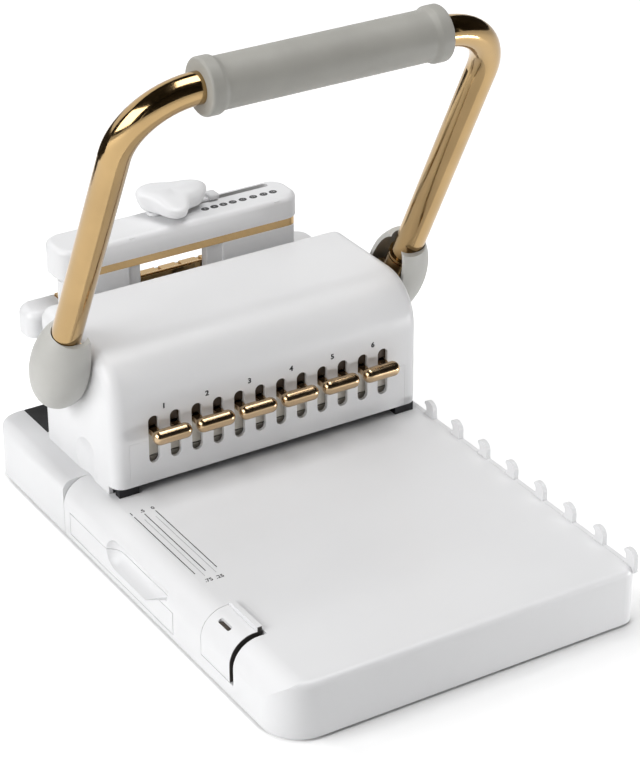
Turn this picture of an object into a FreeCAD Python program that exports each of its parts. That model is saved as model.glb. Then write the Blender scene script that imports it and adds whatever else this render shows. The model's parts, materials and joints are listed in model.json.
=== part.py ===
import FreeCAD, Part
import math
import os

V = FreeCAD.Vector

# Punch row, mm. x = 0 is the middle of the row, y = 0 the head's front face, z = 0 the table.
SLOT_PITCH = 12.7
SLOT_COUNT = 12
SLOT_W = 6.2
SLOT_TOP = 76.0
SLOT_BOTTOM = 48.5
KNOB_Z = 67.0
PUNCH_D = 4.5
PUNCH_Y = 12.0
SELECTOR_HALF = 11.0
SELECTOR_R = 4.1
SELECTOR_RISE = 0.6
PRONG_H = 1.6
SELECTOR_Y = -8.4

# Head
HEAD_HALF = 93.0
HEAD_DEPTH = 83.0
HEAD_TOP = 110.5
HEAD_ROUND = 27.5
HEAD_END_ROUND = 6.8
HEAD_WALL = 2.2
THROAT = 5.0
STOP_Y = 17.5
DIE_FRONT = 8.4
APRON_Y = 2.5
APRON_T = 0.8
APRON_LOW = 52.1
SCREEN_Y = 3.6
SCREEN_TOP = 50.6
PANEL_HALF = HEAD_HALF - 8.7
PANEL_TOP = 62.5
DISH_R = 30.0
DISH_DEEP = 2.6
DISH_Y = 24.5
DISH_Z = 41.5

# Steel side frames inside the head
FRAME_X = HEAD_HALF - 8.0
FRAME_T = 3.0
FRAME_REAR = HEAD_DEPTH - 5.0

# Base
HOOK_PITCH = 25.4
HOOK_COUNT = 9
HOOK_FIRST_Y = 19.6
HOOK_HEIGHT = 9.0
RAIL_X = HEAD_HALF + 0.4
RAIL_T = 2.6
BASE_LEFT = -HEAD_HALF - 15.0
BASE_RIGHT = RAIL_X + RAIL_T + 1.5
BASE_FRONT = -193.0
BASE_REAR = HEAD_DEPTH + 33.0
BASE_BOTTOM = 1.5
PLATFORM_Z = 32.5
SEAM_Y = 32.0
SEAM_GAP = 0.3
SHELL = 2.5
EDGE_ROUND = 14.0
BOTTOM_T = 2.5
MAT_HALF = HEAD_HALF - 2.0
MAT_REAR = BASE_REAR - 2.8
MAT_T = 1.2

# Handle, turning about the X axis through the pivot
PIVOT_Y = 39.3
PIVOT_Z = 95.0
LEG_ANGLE = 117.4
LEG_X = HEAD_HALF + 10.7
LEG_LENGTH = 201.0
TUBE_R = 8.0
TUBE_WALL = 1.5
BEND_R = 36.0
GRIP_HALF = LEG_X - BEND_R - 0.7
GRIP_R = 12.9
GRIP_END_R = 14.3
GRIP_RIM = 4.6
GRIP_BLEND = 4.0
SHAFT_R = 7.0
CAP_R = 17.2
CAP_LONG = 33.0
CAP_UP = 4.5
CAP_TOP = 30.0
TUBE_START = 20.0
CAP_WALL = 2.2
CAP_X = LEG_X - 2.7
CAP_INNER_X = HEAD_HALF + 1.6

# Drive
PUNCH_CRANK_R = 14.0
PUNCH_CRANK_ANGLE = 152.0
JAW_CRANK_R = 10.5
JAW_CRANK_ANGLE = -31.0
ROLLER_R = 3.0
YOKE_PLAY = 0.45
RUN_FIT = 0.05
CARRIAGE = (FRAME_X - 2.0, 7.0, 31.0, 60.0, 76.0)
ROD_X = FRAME_X - 10.0
ROD_Y = 24.0
ROD_R = 3.0

# Rear wire closer
BAR_HALF = 74.0
BAR_FRONT = HEAD_DEPTH + 6.7
BAR_REAR = BAR_FRONT + 26.8
BAR_TOP = 131.9
BAR_END = 7.5
GOLD_TOP = 118.9
GOLD_BOTTOM = 114.4
WALL_T = 7.3
JAW_HALF = HEAD_HALF - 2.0
JAW_FRONT = BAR_FRONT + 8.3
JAW_REAR = JAW_FRONT + 20.0
JAW_PLATE_REAR = JAW_FRONT + 15.0
JAW_PLATE_HALF = BAR_HALF - 5.0
LIFTER_REAR = JAW_FRONT + 6.0
JAW_TOP = 97.0
JAW_BOTTOM = 82.0
LIFTER_MID = -6.7
LIFTER_X = 14.0
POST_X = BAR_HALF - 12.0
POST_Y = JAW_FRONT + 10.0
POST_R = 4.0
STOP_SLOT_Y = BAR_FRONT + 20.8
BAR_SCREW_X = (-BAR_HALF + 12.0, -32.0, BAR_HALF - 16.0)
BAR_SCREW_Y = BAR_FRONT + 3.6
STOP_X = 2.0
KNOB_HEIGHT = 14.5
KNOB_TAPER = 0.8
KNOB_REAR = 9.1
KNOB_LOBES = [
    (17.4, -5.8), (15.4, 0.6), (9.3, 3.2), (2.0, 4.8), (-3.8, 7.6), (-9.5, KNOB_REAR), (-15.4, 6.0),
    (-17.2, -0.5), (-13.4, -7.0), (-10.8, -13.0), (-6.0, -18.2), (1.0, -17.8), (6.5, -13.6), (13.0, -12.2),
]

# Side guide and chip drawer
GUIDE_REAR = -114.5
GUIDE_FRONT = -146.0
GUIDE_GAP = 3.2
GUIDE_IN = BASE_LEFT + 19.0
GUIDE_RAIL_X = BASE_LEFT + 74.0
DRAWER_FRONT = -86.0
DRAWER_REAR = 25.0
DRAWER_TOP = 17.0
DRAWER_RIGHT = BASE_RIGHT - 19.5
SCOOP_R = 9.5
SCOOP_X = BASE_LEFT - 4.0
SCOOP_Z = 17.5
SCOOP_FRONT = DRAWER_FRONT + 6.0
SCOOP_LONG = 55.0

# The exported frame has its origin under the middle of the whole object
ORIGIN_Y = (BASE_FRONT + STOP_SLOT_Y + KNOB_REAR) / 2

NODES = {}


def box(x0, x1, y0, y1, z0, z1):
    return Part.makeBox(x1 - x0, y1 - y0, z1 - z0, V(x0, y0, z0))


def rod(axis, at, r, a, b):
    """Cylinder along one axis between a and b; at gives the other two coordinates."""
    if axis == "x":
        return Part.makeCylinder(r, b - a, V(a, at[0], at[1]), V(1, 0, 0))
    if axis == "y":
        return Part.makeCylinder(r, b - a, V(at[0], a, at[1]), V(0, 1, 0))
    return Part.makeCylinder(r, b - a, V(at[0], at[1], a), V(0, 0, 1))


def fuse(shapes):
    result = shapes[0]
    if len(shapes) > 1:
        result = result.fuse(shapes[1:])
    return result.removeSplitter()


def cut(shape, tools):
    return shape.cut(tools).removeSplitter()


def group(shapes):
    return Part.makeCompound(shapes)


def plan_slab(x0, x1, y0, y1, z0, z1, radii):
    """Slab with its own plan radius at front-left, front-right, rear-right and rear-left."""
    corners = [(x0, y0), (x1, y0), (x1, y1), (x0, y1)]
    inward = [(1, 1), (-1, 1), (-1, -1), (1, -1)]
    points = []
    for (cx, cy), (sx, sy), r in zip(corners, inward, radii):
        points.append((cx, cy, sx, sy, r))
    edges = []
    ends = []
    for i, (cx, cy, sx, sy, r) in enumerate(points):
        along_x = V(cx + sx * r, cy, z0)
        along_y = V(cx, cy + sy * r, z0)
        mid = V(cx + sx * r * (1 - math.sqrt(0.5)), cy + sy * r * (1 - math.sqrt(0.5)), z0)
        first, last = (along_y, along_x) if i % 2 == 0 else (along_x, along_y)
        ends.append((first, mid, last))
    for i, (first, mid, last) in enumerate(ends):
        edges.append(Part.Arc(first, mid, last).toShape())
        nxt = ends[(i + 1) % 4][0]
        edges.append(Part.makeLine(last, nxt))
    face = Part.Face(Part.Wire(edges))
    return face.extrude(V(0, 0, z1 - z0))


def profile_x(points, x0, x1):
    """Closed YZ outline, extruded along X."""
    return outline([V(x0, p[0], p[1]) for p in points]).extrude(V(x1 - x0, 0, 0))


def outline(points):
    return Part.Face(Part.makePolygon(points + [points[0]]))


def rounded_edges(shape, radius, wanted):
    edges = [e for e in shape.Edges if wanted(e)]
    return shape.makeFillet(radius, edges)


def slot_x(i):
    return (i - (SLOT_COUNT - 1) / 2.0) * SLOT_PITCH


def pivot_point(radius, degrees):
    a = math.radians(degrees)
    return PIVOT_Y + radius * math.cos(a), PIVOT_Z + radius * math.sin(a)


def along_leg(distance, side=0.0):
    """Point in the YZ plane at a distance up the leg and a sideways step from it."""
    a = math.radians(LEG_ANGLE)
    y = PIVOT_Y + distance * math.cos(a) - side * math.sin(a)
    z = PIVOT_Z + distance * math.sin(a) + side * math.cos(a)
    return y, z


def base_outer(inset):
    """Outer form of the whole base, or its hollow when inset is the wall."""
    x0, x1 = BASE_LEFT + inset, BASE_RIGHT - inset
    y0, y1 = BASE_FRONT + inset, BASE_REAR - inset
    top = PLATFORM_Z - inset
    low = BASE_BOTTOM if inset == 0 else BASE_BOTTOM - 1.0
    radii = [max(r - inset, 1.0) for r in (20.0, 9.0, 12.0, 14.0)]
    slab = plan_slab(x0, x1, y0, y1, low, top, radii)
    slab = rounded_edges(slab, max(3.5 - inset, 0.8), lambda e: abs(e.BoundBox.ZMin - top) < 1e-6)
    r = EDGE_ROUND - inset
    centre = V(x0 + r, y0 - 5, top - r)
    quarter = r * math.sqrt(0.5)
    edges = [
        Part.makeLine(V(x0, y0 - 5, low - 1), V(x0, y0 - 5, top - r)),
        Part.Arc(
            V(x0, y0 - 5, top - r),
            V(centre.x - quarter, y0 - 5, centre.z + quarter),
            V(x0 + r, y0 - 5, top),
        ).toShape(),
        Part.makeLine(V(x0 + r, y0 - 5, top), V(x1 + 5, y0 - 5, top)),
        Part.makeLine(V(x1 + 5, y0 - 5, top), V(x1 + 5, y0 - 5, low - 1)),
        Part.makeLine(V(x1 + 5, y0 - 5, low - 1), V(x0, y0 - 5, low - 1)),
    ]
    prism = Part.Face(Part.Wire(edges)).extrude(V(0, SEAM_Y - y0 + 5, 0))
    r2 = max(6.0 - inset, 1.0)
    rear = box(x0, x1 + 5, SEAM_Y, y1 + 5, low - 1, top)
    rear = rounded_edges(
        rear, r2,
        lambda e: abs(e.BoundBox.XMax - x0) < 1e-6 and abs(e.BoundBox.ZMin - top) < 1e-6,
    )
    return slab.common(prism.fuse(rear))


SCREW_SPOTS = [
    (BASE_LEFT + 38.0, -178.0), (BASE_RIGHT - 15.5, -176.0), (BASE_LEFT + 48.0, -108.0),
    (BASE_RIGHT - 11.5, -60.0), (BASE_LEFT + 13.0, BASE_REAR - 20.0), (BASE_RIGHT - 11.5, BASE_REAR - 20.0),
]
FOOT_SPOTS = [
    (BASE_LEFT + 20.0, -168.0), (BASE_RIGHT - 17.5, -156.0),
    (BASE_LEFT + 23.0, BASE_REAR - 28.0), (BASE_RIGHT - 21.5, BASE_REAR - 28.0),
]
FOOT_R = 7.0
SCREW_R = 1.6
PILLAR_R = 4.2


def scoop_form():
    """Finger scoop over the drawer front: a round channel with one ball end."""
    channel = Part.makeCylinder(SCOOP_R, SCOOP_LONG, V(SCOOP_X, SCOOP_FRONT, SCOOP_Z), V(0, 1, 0))
    ball = Part.makeSphere(SCOOP_R, V(SCOOP_X, SCOOP_FRONT + SCOOP_LONG, SCOOP_Z))
    slope = [(-5, -40), (-5, SCOOP_R - 6), (1, SCOOP_R - 6.5), (23, -SCOOP_R + 0.5), (30, -40)]
    ramp = profile_x(
        [(SCOOP_FRONT + a, SCOOP_Z + b) for a, b in slope], SCOOP_X - 2 * SCOOP_R, SCOOP_X + 2 * SCOOP_R,
    )
    return channel.fuse(ball).cut(ramp)


def build_base():
    outer = base_outer(0.0)
    hollow = base_outer(SHELL)
    front_half = box(-200, 200, -300, SEAM_Y - SEAM_GAP / 2, -10, 100)
    rear_half = box(-200, 200, SEAM_Y + SEAM_GAP / 2, 300, -10, 100)

    shell = outer.cut(hollow)
    liner = box(BASE_LEFT + 1, BASE_LEFT + 12, DRAWER_FRONT - 2, -12, DRAWER_TOP + 0.4, PLATFORM_Z - 1)
    liner = liner.common(outer)
    guide_seat = box(BASE_LEFT + 4, GUIDE_IN + 2, GUIDE_FRONT - 2.4, GUIDE_REAR + 2.4, 9, PLATFORM_Z - 1)
    guide_seat = guide_seat.common(outer)
    front = shell.common(front_half).fuse([liner, guide_seat])
    pillars = []
    for x, y in SCREW_SPOTS[:4]:
        pillars.append(rod("z", (x, y), PILLAR_R, BASE_BOTTOM + BOTTOM_T, PLATFORM_Z - 1.0))
    for x in (-30, 20, 60):
        pillars.append(box(x - 0.9, x + 0.9, BASE_FRONT + 1, -2, PLATFORM_Z - 6, PLATFORM_Z - 1))
    front = front.fuse(pillars)
    far_left = BASE_LEFT - 12
    tools = [
        box(-HEAD_HALF + 2, HEAD_HALF - 2, DIE_FRONT - 0.2, SEAM_Y + 8, 0, 60),
        box(-FRAME_X - FRAME_T - 0.4, -FRAME_X + 0.4, 5.4, DIE_FRONT, 0, 60),
        box(FRAME_X - 0.4, FRAME_X + FRAME_T + 0.4, 5.4, DIE_FRONT, 0, 60),
        scoop_form(),
        box(far_left, BASE_LEFT + SHELL + 8, DRAWER_FRONT - 0.4, DRAWER_REAR + 0.4, 4.2, DRAWER_TOP + 0.4),
        box(far_left, GUIDE_IN, GUIDE_FRONT, GUIDE_REAR, 9.0, 60),
        box(GUIDE_IN - 1, GUIDE_IN + 4, -139.4, -133.6, 23.7, 28.3),
        box(GUIDE_IN - 1, GUIDE_IN + 4, -125.4, -119.6, 23.7, 28.3),
        box(RAIL_X - 0.1, RAIL_X + RAIL_T + 0.1, -189.1, SEAM_Y + 5, 24.0, 60),
    ]
    for x, y in SCREW_SPOTS[:4]:
        tools.append(rod("z", (x, y), SCREW_R, 0, 20))
    NODES["platform_cover"] = cut(front, tools)

    rear = shell.common(rear_half)
    pillars = []
    for x0, x1 in ((BASE_LEFT - 1, -HEAD_HALF + 3), (HEAD_HALF - 3, BASE_RIGHT + 1)):
        end = box(x0, x1, SEAM_Y + SEAM_GAP / 2, SEAM_Y + 2.5, BASE_BOTTOM + BOTTOM_T, PLATFORM_Z)
        pillars.append(end.common(outer))
    for x, y in SCREW_SPOTS[4:]:
        pillars.append(rod("z", (x, y), PILLAR_R, BASE_BOTTOM + BOTTOM_T, PLATFORM_Z - 1.0))
    seats = []
    for s in (-1, 1):
        seats.append(rod("z", (s * POST_X, POST_Y), 8.0, 18.0, PLATFORM_Z - 1.0))
    deck = box(-MAT_HALF - 1, MAT_HALF + 1, 82, BASE_REAR - 2, PLATFORM_Z - 4.0, PLATFORM_Z - 1.0)
    rear = rear.fuse(pillars + seats + [deck])
    tools = [
        box(-FRAME_X - 4, FRAME_X + 4, 20, HEAD_DEPTH - 4, 0, 60),
        box(RAIL_X - 0.1, RAIL_X + RAIL_T + 0.1, 0, SEAM_Y + 5, 24.0, 60),
        box(-MAT_HALF, MAT_HALF, HEAD_DEPTH + 1, MAT_REAR, PLATFORM_Z - MAT_T, 60),
    ]
    for x, y in SCREW_SPOTS[4:]:
        tools.append(rod("z", (x, y), SCREW_R, 0, 20))
    for s in (-1, 1):
        tools.append(rod("z", (s * POST_X, POST_Y), POST_R, 20.0, 60))
    NODES["rear_cover"] = cut(rear, tools)

    mat = plan_slab(-MAT_HALF, MAT_HALF, HEAD_DEPTH + 1, MAT_REAR, PLATFORM_Z - MAT_T, PLATFORM_Z, [1.0] * 4)
    holes = [box(-BAR_HALF, 70, BAR_FRONT, BAR_FRONT + WALL_T, 0, 60)]
    for s in (-1, 1):
        holes.append(rod("z", (s * POST_X, POST_Y), POST_R, 0, 60))
    NODES["rear_mat"] = cut(mat, holes)

    gap = SHELL + 0.2
    plate = plan_slab(
        BASE_LEFT + gap, BASE_RIGHT - gap, BASE_FRONT + gap, BASE_REAR - gap,
        BASE_BOTTOM, BASE_BOTTOM + BOTTOM_T, [17.0, 6.5, 9.5, 11.5],
    )
    ribs = []
    for x in (-20, 40):
        ribs.append(box(x - 1, x + 1, -180, -92, BASE_BOTTOM + 1, BASE_BOTTOM + 8))
    for y in (-170, -100):
        ribs.append(box(-60, 70, y - 1, y + 1, BASE_BOTTOM + 1, BASE_BOTTOM + 8))
    plate = plate.fuse(ribs)
    tools = []
    for x, y in SCREW_SPOTS:
        tools.append(rod("z", (x, y), SCREW_R, 0, 10))
        tools.append(rod("z", (x, y), 2 * SCREW_R, 0, BASE_BOTTOM + 1.2))
    feet = []
    for x, y in FOOT_SPOTS:
        tools.append(rod("z", (x, y), FOOT_R, 0, BASE_BOTTOM + 1.0))
        foot = rod("z", (x, y), FOOT_R, 0, BASE_BOTTOM + 1.0)
        feet.append(rounded_edges(foot, 0.8, lambda e: e.BoundBox.ZMax < 1e-6))
    NODES["bottom_plate"] = cut(plate, tools)
    NODES["feet"] = group(feet)

    screws = []
    for x, y in SCREW_SPOTS:
        head = rod("z", (x, y), 3.0, BASE_BOTTOM + 0.3, BASE_BOTTOM + 1.2)
        shank = rod("z", (x, y), SCREW_R, BASE_BOTTOM + 1.2, 16)
        cross = [box(x - 2, x + 2, y - 0.4, y + 0.4, 0, BASE_BOTTOM + 0.7)]
        cross.append(box(x - 0.4, x + 0.4, y - 2, y + 2, 0, BASE_BOTTOM + 0.7))
        screws.append(cut(fuse([head, shank]), cross))
    NODES["base_screws"] = group(screws)

    rail = box(RAIL_X, RAIL_X + RAIL_T, -189.0, SEAM_Y - SEAM_GAP / 2, 24.2, PLATFORM_Z)
    fins = []
    for k in range(HOOK_COUNT):
        y = HOOK_FIRST_Y - k * HOOK_PITCH
        z = PLATFORM_Z
        notch = [(1.2, 0.0), (-0.6, 0.7), (-1.9, 2.4), (-1.9, 4.6), (-0.4, 6.2)]
        crown = [(-0.4, 6.2), (-0.6, 7.6), (-2.4, 8.7), (-4.4, HOOK_HEIGHT), (-6.6, 8.4), (-8.2, 6.8)]
        crown.append((-8.8, 4.4))
        edges = []
        for run in (notch, crown):
            curve = Part.BSplineCurve()
            curve.interpolate([V(RAIL_X, y + a, z + b) for a, b in run])
            edges.append(curve.toShape())
        foot = [V(RAIL_X, y + a, z + b) for a, b in ((-8.8, 4.4), (-8.9, -3), (1.2, -3), (1.2, 0))]
        for first, last in zip(foot, foot[1:]):
            edges.append(Part.makeLine(first, last))
        fins.append(Part.Face(Part.Wire(edges)).extrude(V(RAIL_T, 0, 0)))
    NODES["hook_rail"] = fuse([rail] + fins)


def head_form(inset):
    """Solid head with its rounded brow and rounded ends, or its hollow."""
    y0, y1 = inset, HEAD_DEPTH - inset
    top = HEAD_TOP - inset
    half = HEAD_HALF - inset
    r = HEAD_ROUND - inset
    q = math.sqrt(0.5)
    low = PLATFORM_Z if inset == 0 else PLATFORM_Z - 1
    rb = 7.0 - inset
    edges = [
        Part.makeLine(V(-half, y0, low), V(-half, y0, top - r)),
        Part.Arc(
            V(-half, y0, top - r),
            V(-half, y0 + r - r * q, top - r + r * q),
            V(-half, y0 + r, top),
        ).toShape(),
        Part.makeLine(V(-half, y0 + r, top), V(-half, y1 - rb, top)),
        Part.Arc(
            V(-half, y1 - rb, top),
            V(-half, y1 - rb + rb * q, top - rb + rb * q),
            V(-half, y1, top - rb),
        ).toShape(),
        Part.makeLine(V(-half, y1, top - rb), V(-half, y1, low)),
        Part.makeLine(V(-half, y1, low), V(-half, y0, low)),
    ]
    solid = Part.Face(Part.Wire(edges)).extrude(V(2 * half, 0, 0))
    radius = HEAD_END_ROUND - inset

    def end_edge(e):
        flat = e.BoundBox.XMax - e.BoundBox.XMin < 1e-6
        return flat and e.BoundBox.ZMax > low + 1e-3

    return rounded_edges(solid, radius, end_edge)


def slot_cutter(i, z0, z1, y0, y1):
    x = slot_x(i)
    r = SLOT_W / 2
    body = box(x - r, x + r, y0, y1, z0 + r, z1 - r)
    return body.fuse([rod("y", (x, z0 + r), r, y0, y1), rod("y", (x, z1 - r), r, y0, y1)])


def build_head():
    shell = head_form(0.0).cut(head_form(HEAD_WALL))
    slots = [slot_cutter(i, SLOT_BOTTOM, SLOT_TOP, -5, 10) for i in range(SLOT_COUNT)]
    throat_z = PLATFORM_Z + THROAT
    bosses = []
    for s in (-1, 1):
        x0, x1 = sorted((s * (FRAME_X + FRAME_T), s * (HEAD_HALF - 1.5)))
        for y, z in ((16, 52), (66, 52), (62, 84)):
            bosses.append(rod("x", (y, z), 4.0, x0, x1))
    shell = shell.fuse(bosses)
    tools = slots + [
        box(-PANEL_HALF, PANEL_HALF, -5, HEAD_WALL + 0.01, 0, PANEL_TOP),
        box(-2 * HEAD_HALF, 2 * HEAD_HALF, -5, 8.0, 0, throat_z),
    ]
    for s in (-1, 1):
        x0, x1 = sorted((s * (FRAME_X - 5), s * (HEAD_HALF + 7)))
        tools.append(rod("x", (PIVOT_Y, PIVOT_Z), SHAFT_R + 0.6, x0, x1))
        dish = Part.makeSphere(DISH_R, V(s * (HEAD_HALF + DISH_R - DISH_DEEP), DISH_Y + 8.0, DISH_Z))
        tools.append(dish.common(box(-2 * HEAD_HALF, 2 * HEAD_HALF, DISH_Y, 80, 0, 100)))
        lift_x = LIFTER_MID + s * LIFTER_X
        tools.append(box(lift_x - 3.5, lift_x + 3.5, HEAD_DEPTH - 7, HEAD_DEPTH + 7, 81.5, 105.8))
    dish_back = []
    for s in (-1, 1):
        centre = V(s * (HEAD_HALF + DISH_R - DISH_DEEP), DISH_Y + 8.0, DISH_Z)
        ball = Part.makeSphere(DISH_R + HEAD_WALL, centre)
        half = box(-HEAD_HALF + 0.5, HEAD_HALF - 0.5, 2, 80, PLATFORM_Z, 100)
        dish_back.append(ball.common(half))
    shell = shell.fuse(dish_back)
    NODES["head_cover"] = cut(shell, tools)

    panel = box(-PANEL_HALF + 0.1, PANEL_HALF - 0.1, 0, HEAD_WALL, throat_z, PANEL_TOP - 0.1)
    NODES["front_panel"] = cut(panel, slots)


def build_frame():
    die_top = PLATFORM_Z
    strip_low = PLATFORM_Z + THROAT
    for name, s in (("side_frame_left", -1), ("side_frame_right", 1)):
        x0, x1 = sorted((s * FRAME_X, s * (FRAME_X + FRAME_T)))
        pts = [
            (34, 4), (FRAME_REAR, 4), (FRAME_REAR, 88), (FRAME_REAR - 8, 104), (44, 106), (26, 104.5),
            (14, 96), (6, 84), (6, 26), (34, 26),
        ]
        plate = profile_x(pts, x0, x1)
        plate = rounded_edges(
            plate, 3.0,
            lambda e: e.BoundBox.XMax - e.BoundBox.XMin > 2.9 and e.BoundBox.YMax - e.BoundBox.YMin < 1e-6,
        )
        inner = s * (FRAME_X - 14)
        flange = box(min(inner, s * FRAME_X), max(inner, s * FRAME_X), 40, FRAME_REAR, 4, 7)
        far = FRAME_REAR - 8
        window = [(42, 38), (far, 38), (far, 54), (far - 8, 60), (42, 60)]
        windows = [
            rod("x", (PIVOT_Y, PIVOT_Z), SHAFT_R + 2.0, x0 - 1, x1 + 1),
            profile_x(window, x0 - 1, x1 + 1),
            rod("x", (FRAME_REAR - 12, 30), 4.0, x0 - 1, x1 + 1),
            rod("x", (FRAME_REAR - 14, 70), 4.0, x0 - 1, x1 + 1),
        ]
        NODES[name] = cut(plate.fuse(flange), windows)

    bushes = []
    for s in (-1, 1):
        a, b = sorted((s * (FRAME_X - 1.5), s * (FRAME_X + 4.6)))
        sleeve = rod("x", (PIVOT_Y, PIVOT_Z), SHAFT_R + 2.0, a, b)
        f0, f1 = sorted((s * (FRAME_X - 3), s * FRAME_X))
        collar = rod("x", (PIVOT_Y, PIVOT_Z), SHAFT_R + 4.5, f0, f1)
        bore = rod("x", (PIVOT_Y, PIVOT_Z), SHAFT_R + RUN_FIT, -LEG_X, LEG_X)
        bushes.append(cut(fuse([sleeve, collar]), [bore]))
    NODES["shaft_bushes"] = group(bushes)

    ties = []
    for y, z in ((FRAME_REAR - 12, 30), (FRAME_REAR - 14, 70)):
        bar = rod("x", (y, z), 4.0, -FRAME_X - FRAME_T, FRAME_X + FRAME_T)
        body = rod("x", (y, z), 5.5, -FRAME_X, FRAME_X)
        ties.append(fuse([bar, body]))
    NODES["frame_ties"] = group(ties)

    def holes(z0, z1, r):
        return [rod("z", (slot_x(i), PUNCH_Y), r, z0, z1) for i in range(SLOT_COUNT)]

    die = box(-FRAME_X, FRAME_X, DIE_FRONT, 31.0, die_top - 6, die_top)
    relief = [rod("z", (slot_x(i), PUNCH_Y), PUNCH_D / 2 + 0.6, 0, die_top - 3) for i in range(SLOT_COUNT)]
    NODES["die_plate"] = cut(die, holes(0, 60, PUNCH_D / 2 + 0.04) + relief)

    strip = box(-FRAME_X, FRAME_X, 3.6, 31.0, strip_low, strip_low + 6)
    tools = holes(0, 60, PUNCH_D / 2 + 0.04)
    for s in (-1, 1):
        tools.append(rod("z", (s * ROD_X, ROD_Y), ROD_R, strip_low + 1, 60))
    NODES["stripper_plate"] = cut(strip, tools)

    stop = box(-FRAME_X + 6, FRAME_X - 6, STOP_Y, 31.0, die_top, strip_low)
    NODES["back_stop"] = stop

    blocks = []
    for s in (-1, 1):
        a, b = sorted((s * (FRAME_X - 6), s * (HEAD_HALF - 2.5)))
        block = box(a, b, 1.0, 17.0, die_top, strip_low)
        c, d = sorted((s * FRAME_X, s * HEAD_HALF))
        blocks.append(cut(block, [box(c, d, 5.8, 20, 0, 60)]))
    NODES["throat_blocks"] = group(blocks)

    rods = []
    brackets = []
    springs = []
    for s in (-1, 1):
        rods.append(rod("z", (s * ROD_X, ROD_Y), ROD_R, strip_low + 1, 84.0))
        a, b = sorted((s * (ROD_X - 6), s * FRAME_X))
        plate = box(a, b, 17.0, 31.0, 78.0, 83.0)
        plate = rounded_edges(
            plate, 3.0,
            lambda e: e.BoundBox.ZMax - e.BoundBox.ZMin > 4.9 and abs(abs(e.BoundBox.XMax) - ROD_X + 6) < 1e-6,
        )
        brackets.append(cut(plate, [rod("z", (s * ROD_X, ROD_Y), ROD_R, 0, 120)]))
        height = 28.2
        turns = 9
        helix = Part.makeHelix(height / turns, height, 4.2)
        helix.Placement = FreeCAD.Placement(V(s * ROD_X, ROD_Y, strip_low + 6 + 0.6), FreeCAD.Rotation())
        start = helix.Vertexes[0].Point
        section = Part.Wire(Part.makeCircle(0.55, start, V(0, 1, 0.12)))
        springs.append(Part.Wire(helix.Edges).makePipeShell([section], True, True))
    NODES["guide_rods"] = group(rods)
    NODES["rod_brackets"] = group(brackets)
    NODES["return_springs"] = group(springs)

    screws = []
    bores = []
    for s in (-1, 1):
        for y, z in ((16, 29.5), (12, 40.5)):
            a, b = sorted((s * (FRAME_X + FRAME_T), s * (FRAME_X + FRAME_T + 1.8)))
            head = rod("x", (y, z), 2.8, a, b)
            inner, outer = sorted((s * (FRAME_X - 3.4), s * (FRAME_X + FRAME_T)))
            shank = rod("x", (y, z), 1.5, inner, outer)
            face, floor = s * (FRAME_X + FRAME_T + 1.8), s * (FRAME_X + FRAME_T + 0.8)
            recess = rod("x", (y, z), 1.3, min(face, floor), max(face, floor))
            screws.append(cut(fuse([head, shank]), [recess]))
            bores.append(rod("x", (y, z), 1.5, inner, outer))
    NODES["frame_screws"] = group(screws)
    for name in ("side_frame_left", "side_frame_right", "die_plate", "stripper_plate"):
        NODES[name] = cut(NODES[name], bores)


def crank(x0, x1, radius, degrees, hub_r, end_r):
    y, z = pivot_point(radius, degrees)
    hub = rod("x", (PIVOT_Y, PIVOT_Z), hub_r, x0, x1)
    end = rod("x", (y, z), end_r, x0, x1)
    a = math.radians(degrees)
    ny, nz = -math.sin(a), math.cos(a)
    w0, w1 = hub_r * 0.8, end_r
    pts = [
        (PIVOT_Y + ny * w0, PIVOT_Z + nz * w0), (y + ny * w1, z + nz * w1),
        (y - ny * w1, z - nz * w1), (PIVOT_Y - ny * w0, PIVOT_Z - nz * w0),
    ]
    web = profile_x(pts, x0, x1)
    solid = fuse([hub, end, web])
    return cut(solid, [rod("x", (PIVOT_Y, PIVOT_Z), SHAFT_R, -200, 200), rod("x", (y, z), 2.0, -200, 200)])


def egg_form(r, long):
    """Ellipsoid about the local Z axis."""
    half = Part.Ellipse(V(0, 0, long), V(r, 0, 0), V(0, 0, 0))
    arc = half.toShape(-math.pi / 2, math.pi / 2)
    first, last = arc.Vertexes[0].Point, arc.Vertexes[-1].Point
    if abs(first.x) > 1e-6:
        arc = half.toShape(0, math.pi)
        first, last = arc.Vertexes[0].Point, arc.Vertexes[-1].Point
    face = Part.Face(Part.Wire([arc, Part.makeLine(last, first)]))
    return face.revolve(V(0, 0, 0), V(0, 0, 1), 360)


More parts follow.
